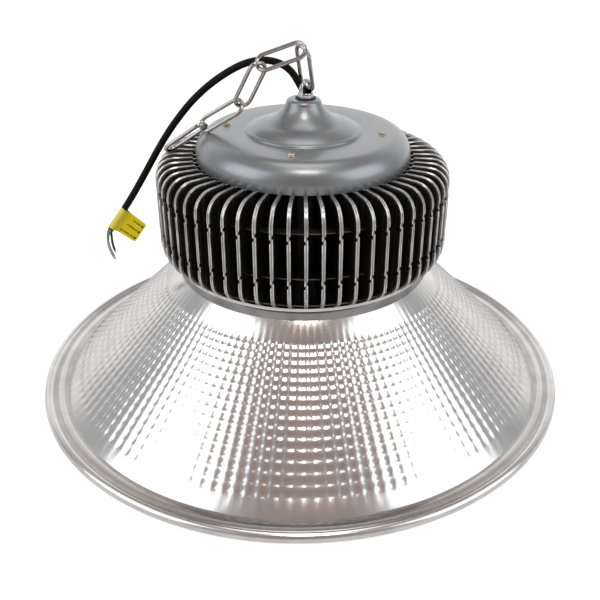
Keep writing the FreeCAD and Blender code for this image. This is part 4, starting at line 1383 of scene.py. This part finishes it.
@dataclass
class MainsCable:
    """Black mains cable with its flag label, three cores and their bare strands."""

    shop: Shop
    radius: float = 3.1
    core_radius: float = 1.1
    core_start: float = 3.2
    length: float = 0.2822
    strand_length: float = 3.0
    strand_radius: float = 0.2
    strand_ring: float = 0.42
    strand_lean: float = 0.05
    strand_taper: float = 0.9
    label_length: float = 22.7
    label_reach: float = 24.6
    label_skew: float = 2.2
    label_corner: float = 2.0
    label_tail: float = 1.2
    label_steps: int = 24
    curl: float = 0.5
    curl_turn: float = 2.4
    film: float = 0.2
    leaf_gap: float = 0.16
    leaf_root: tuple[Point, ...] = ((6.6, 0.3), (5.2, 0.9))
    wrap_gap: float = 0.3
    route: tuple[Point, ...] = (
        (1.0, -1.2, 262), (1.05, -1.2, 275.6), (-4.0, 1.2, 283.5), (-9.5, 1.6, 293.2), (-18.0, 2.6, 299.7),
        (-28.7, 5.4, 302.1), (-40.5, 8.8, 301.1), (-54.0, 12.0, 296.3), (-69.0, 14.6, 287.3),
        (-84.2, 16.6, 275.9), (-98.3, 17.8, 262.6), (-110.7, 18.2, 247.9), (-122.0, 17.6, 232.7),
        (-132.5, 16.0, 216.3), (-146.8, 13.2, 192.2), (-162.4, 10.0, 167.3), (-178.8, 7.0, 144.9),
    )
    cores: tuple[tuple[str, str, str, tuple[float, float], tuple[Point, ...]], ...] = (
        ("core_brown", "core_brown", "brown", (-1.4, 0.7),
         ((-183.6, 7.6, 133.8), (-182.9, 7.4, 123.6), (-180.0, 7.0, 116.5))),
        ("core_blue", "core_blue", "blue", (1.4, 0.7),
         ((-179.4, 7.8, 136.8), (-179.8, 8.0, 129.7), (-178.3, 8.0, 122.5))),
        ("core_earth", "core_green", "green", (0.0, -1.7),
         ((-182.6, 4.6, 135.9), (-182.0, 4.0, 127.1), (-178.5, 4.0, 117.6))),
    )

    def end(self) -> tuple[Vector, Vector, Vector, Vector]:
        """The cable's end, its direction there, and the two directions across it."""
        end = Vector(self.route[-1])
        along = (end - Vector(self.route[-2])).normalized()
        across = Vector((0.0, -1.0, 0.0)).cross(along).normalized()
        if across.x < 0:
            across = -across
        beside = across.cross(along)
        if beside.y < 0:
            beside = -beside
        return end, along, across, beside

    def leads(self) -> list[bpy.types.Object]:
        """Builds the three cores."""
        end, along, across, beside = self.end()
        made = []
        for node, slot, finish, offset, further in self.cores:
            start = end + across * offset[0] + beside * offset[1]
            points = [tuple(start), tuple(start + along * self.core_start), *further]
            lead = tube(f"{node}_piece", points, self.core_radius, self.shop.get(finish))
            made.append(settle(lead, Stand(node, slot)))
        return made

    def strands(self) -> bpy.types.Object:
        """Builds the bare strands, seven fine wires on each core."""
        shape = Shape()
        for *_, further in self.cores:
            tip, before = Vector(further[-1]), Vector(further[-2])
            way = (tip - before).normalized()
            turn = way.to_track_quat("Z", "Y").to_matrix().to_4x4()
            for index in range(7):
                angle = index * math.tau / 6
                out = 0.0 if index == 6 else self.strand_ring
                lean = Matrix.Rotation(self.strand_lean * out * math.cos(angle), 4, "Y")
                spot = Vector((out * math.cos(angle), out * math.sin(angle), self.strand_length / 2))
                place = Matrix.Translation(tip * MM) @ turn @ lean @ Matrix.Translation(spot * MM)
                bmesh.ops.create_cone(shape.bm, cap_ends=True, segments=8, matrix=place,
                                      radius1=self.strand_radius * MM,
                                      radius2=self.strand_radius * self.strand_taper * MM,
                                      depth=self.strand_length * MM)
        shape.smooth(50.0)
        return piece(shape, Stand("core_strands", "tinned_copper"), [self.shop.get("strand")])

    def film_section(self) -> list[Point]:
        """The label's line across the cable: out along one leaf's side, round the cable and back."""
        bend = self.radius + self.wrap_gap
        leaf = [(self.label_reach - step, self.leaf_gap) for step in range(0, 17, 2)]
        leaf += self.leaf_root
        wrap = [(bend * math.cos(math.radians(turn)), bend * math.sin(math.radians(turn)))
                for turn in range(40, 321, 14)]
        return leaf + wrap + [(out, -rise) for out, rise in reversed(leaf)]

    def label(self) -> bpy.types.Object:
        """Builds the label: a film folded round the cable, its two leaves stuck together."""
        end, along, across, _ = self.end()
        shape = Shape()
        verts = [shape.bm.verts.new((0.0, y * MM, z * MM)) for y, z in self.film_section()]
        rim = [shape.bm.edges.new(pair) for pair in zip(verts, verts[1:])]
        for _ in range(self.label_steps):
            grown = bmesh.ops.extrude_edge_only(shape.bm, edges=rim)["geom"]
            moved = [item for item in grown if isinstance(item, bmesh.types.BMVert)]
            bmesh.ops.translate(shape.bm, verts=moved,
                                vec=(self.label_length / self.label_steps * MM, 0.0, 0.0))
            rim = [item for item in grown if isinstance(item, bmesh.types.BMEdge)]
        bmesh.ops.recalc_face_normals(shape.bm, faces=shape.bm.faces)
        bmesh.ops.solidify(shape.bm, geom=shape.bm.faces[:], thickness=self.film * MM)
        layer = shape.bm.loops.layers.uv.new("label")
        for face in shape.bm.faces:
            for loop in face.loops:
                x, y, _ = loop.vert.co / MM
                loop[layer].uv = (x / self.label_length, y / self.label_reach)
        for vert in shape.bm.verts:
            x, y, z = vert.co / MM
            share = max(y, 0.0) / self.label_reach
            edge = max(self.label_corner - min(x, self.label_length - x), 0.0)
            limit = self.label_reach - self.label_corner
            limit += math.sqrt(max(self.label_corner**2 - edge**2, 0.0))
            curl = self.curl * share * share * math.sin(self.curl_turn * x / self.label_length)
            x += self.label_skew * share * (1 - x / self.label_length)
            vert.co = Vector((x, min(y, limit), z + curl)) * MM
        start = (end - along * (self.label_length + self.label_tail)) * MM
        axes = Matrix((along, across, along.cross(across))).transposed().to_4x4()
        shape.smooth(50.0).place(Matrix.Translation(start) @ axes)
        return piece(shape, Stand("cable_label", "label_yellow"), [self.shop.get("label")])

    def build(self) -> list[bpy.types.Object]:
        sheath = tube("mains_cable_piece", list(self.route), self.radius, self.shop.get("cable"))
        settle(sheath, Stand("mains_cable", "cable_black"))
        carried = [self.label(), *self.leads(), self.strands()]
        2 * self.radius * MM
        return [sheath, *carried]


# ---- studio -----------------------------------------------------------------------------------

@dataclass(frozen=True)
class Softbox:
    """Square soft light: its name, place and side in metres, power in watts and colour."""

    name: str
    place: Point
    size: float
    power: float
    colour: Colour

    def hang(self, aim: Point) -> None:
        """Hangs the light so that it faces a point."""
        light = bpy.data.lights.new(self.name, "AREA")
        light.shape = "SQUARE"
        light.size = self.size
        light.energy = self.power
        light.color = self.colour
        lamp = bpy.data.objects.new(self.name, light)
        lamp.location = self.place
        way = Vector(aim) - Vector(self.place)
        lamp.rotation_euler = way.to_track_quat("-Z", "Y").to_euler()
        bpy.context.scene.collection.objects.link(lamp)


@dataclass
class Studio:
    """Floor, soft lights, backdrop and camera."""

    camera_place: Point = (0.0, -0.70888, 0.47303)
    camera_turn: Point = (1.05714, -0.02393, -0.04371)
    lens: float = 50.03
    shift: float = -0.0759
    floor_half: float = 1.25
    floor_lift: float = 0.55
    floor_tones: tuple[Colour, Colour] = ((0.93, 0.93, 0.93), (0.91, 0.91, 0.91))
    floor_grain: float = 400.0
    floor_mirrored: float = 0.2
    floor_roughness: float = 0.7
    dome_dark: Colour = (0.33, 0.255, 0.23)
    dome_light: Colour = (0.42, 0.42, 0.43)
    dome_top: Colour = (0.38, 0.38, 0.38)
    dome_side: tuple[float, float] = (0.16, 0.60)
    dome_rise: tuple[float, float] = (0.80, 1.0)
    behind_depth: tuple[float, float] = (0.30, 0.75)
    behind_height: tuple[float, float] = (0.50, 0.75)
    aim: Point = (0.0, 0.0, 0.12)
    lights: tuple[Softbox, ...] = (
        Softbox("softbox_left", (-1.55, -0.66, 1.02), 1.5, 10.0, (0.97, 0.985, 1.0)),
        Softbox("softbox_right", (1.55, -0.66, 1.02), 1.5, 9.6, (0.97, 0.985, 1.0)),
        Softbox("softbox_top", (0.0, 0.35, 2.3), 1.0, 5.0, (1.0, 1.0, 1.0)),
        Softbox("key_small", (0.06, -0.84, 1.96), 0.56, 7.0, (1.0, 0.94, 0.87)),
    )

    @staticmethod
    def shown(paint: Painter) -> tuple[Value, Value]:
        """Shares of the rays that come from the camera, and from gloss and glass."""
        ways = [paint.node("ShaderNodeLightPath", {}, {}, name)
                for name in ("Is Camera Ray", "Is Glossy Ray", "Is Transmission Ray")]
        return ways[0], ways[1] + ways[2]

    def floor(self) -> None:
        """Lays the plain pale floor, which keeps its white in the camera and in gloss."""
        shape = Shape()
        bmesh.ops.create_grid(shape.bm, x_segments=2, y_segments=2, size=self.floor_half)
        plane = bpy.data.objects.new("floor", shape.mesh("floor"))
        paint = Painter("pale_floor")
        seen, mirrored = self.shown(paint)
        grain = paint.noise(paint.space(), self.floor_grain)
        colour = paint.blend(grain, *self.floor_tones)
        glow = paint.blend(seen + mirrored * self.floor_mirrored, (0.0, 0.0, 0.0), (1.0, 1.0, 1.0))
        fixed = {"Emission Color": glow, "Emission Strength": self.floor_lift, "Specular IOR Level": 0.1}
        plane.data.materials.append(paint.surface(colour, self.floor_roughness, grain, 0.02, 0.0, fixed))
        bpy.context.scene.collection.objects.link(plane)

    def world(self) -> None:
        """Sets a white backdrop for the camera and a soft, uneven dome for light."""
        world = bpy.data.worlds.new("studio")
        world.use_nodes = True
        paint = Painter("studio_dome")
        bpy.data.materials.remove(paint.material)
        paint.tree = world.node_tree
        paint.tree.nodes.clear()
        across, depth, height = paint.axes(paint.node("ShaderNodeTexCoord", {}, {}, "Generated"))
        seen, mirrored = self.shown(paint)
        tone = paint.blend(across.size().step(*self.dome_side), self.dome_dark, self.dome_light)
        tone = paint.blend(height.step(*self.dome_rise), tone, self.dome_top)
        behind = depth.step(*self.behind_depth) * (1.0 - height.step(*self.behind_height))
        dome = paint.node("ShaderNodeBackground", {}, {"Color": tone, "Strength": 1.0})
        white = paint.node("ShaderNodeBackground", {}, {"Color": (1.0, 1.0, 1.0, 1.0), "Strength": 1.0})
        mixed = paint.node("ShaderNodeMixShader", {}, {0: seen + mirrored * behind, 1: dome, 2: white})
        output = paint.tree.nodes.new("ShaderNodeOutputWorld")
        paint.tree.links.new(mixed.socket, output.inputs["Surface"])
        bpy.context.scene.world = world

    def camera(self) -> None:
        """Sets the camera."""
        data = bpy.data.cameras.new("camera")
        data.lens = self.lens
        data.sensor_width = 36.0
        data.shift_x = self.shift
        data.clip_start = 0.01
        view = bpy.data.objects.new("camera", data)
        view.location = self.camera_place
        view.rotation_euler = self.camera_turn
        bpy.context.scene.collection.objects.link(view)
        bpy.context.scene.camera = view

    def build(self) -> None:
        """Sets up the whole studio."""
        self.floor()
        for light in self.lights:
            light.hang(self.aim)
        self.world()
        self.camera()
        bpy.context.scene.view_settings.view_transform = "Standard"


def main() -> None:
    """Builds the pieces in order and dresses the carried-over nodes."""
    logging.basicConfig(level=logging.INFO, format="%(message)s")
    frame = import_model()
    shop = Shop()
    Reflector(shop).build()
    Fins(shop).build()
    Cover(shop).build()
    PanScrews(shop, Stand("cover_screws", "screw_nickel"), "nickel", ring=68.6, count=4, start=-98.5,
              seat=244.6, facing=Facing.UP, head=2.9, rise=1.8, shank=1.45, reach=10.0).build()
    PanScrews(shop, Stand("bezel_screws", "screw_steel"), "steel", ring=95.8, count=6, start=0.0,
              seat=112.6, facing=Facing.DOWN, head=2.8, rise=2.0, shank=1.45, reach=14.0).build()
    PanScrews(shop, Stand("reflector_screws", "screw_steel"), "steel", ring=108.0, count=6, start=0.0,
              seat=124.5, facing=Facing.DOWN, head=3.4, rise=2.4, shank=1.95, reach=6.0).build()
    Washers(shop).build()
    HangingLoop(shop).build()
    Chain(shop).build()
    MainsCable(shop).build()
    for node, finish in CAD_FINISHES.items():
        shop.dress(frame["nodes"][node], finish)
    Studio().build()


if __name__ == "__main__":
    main()
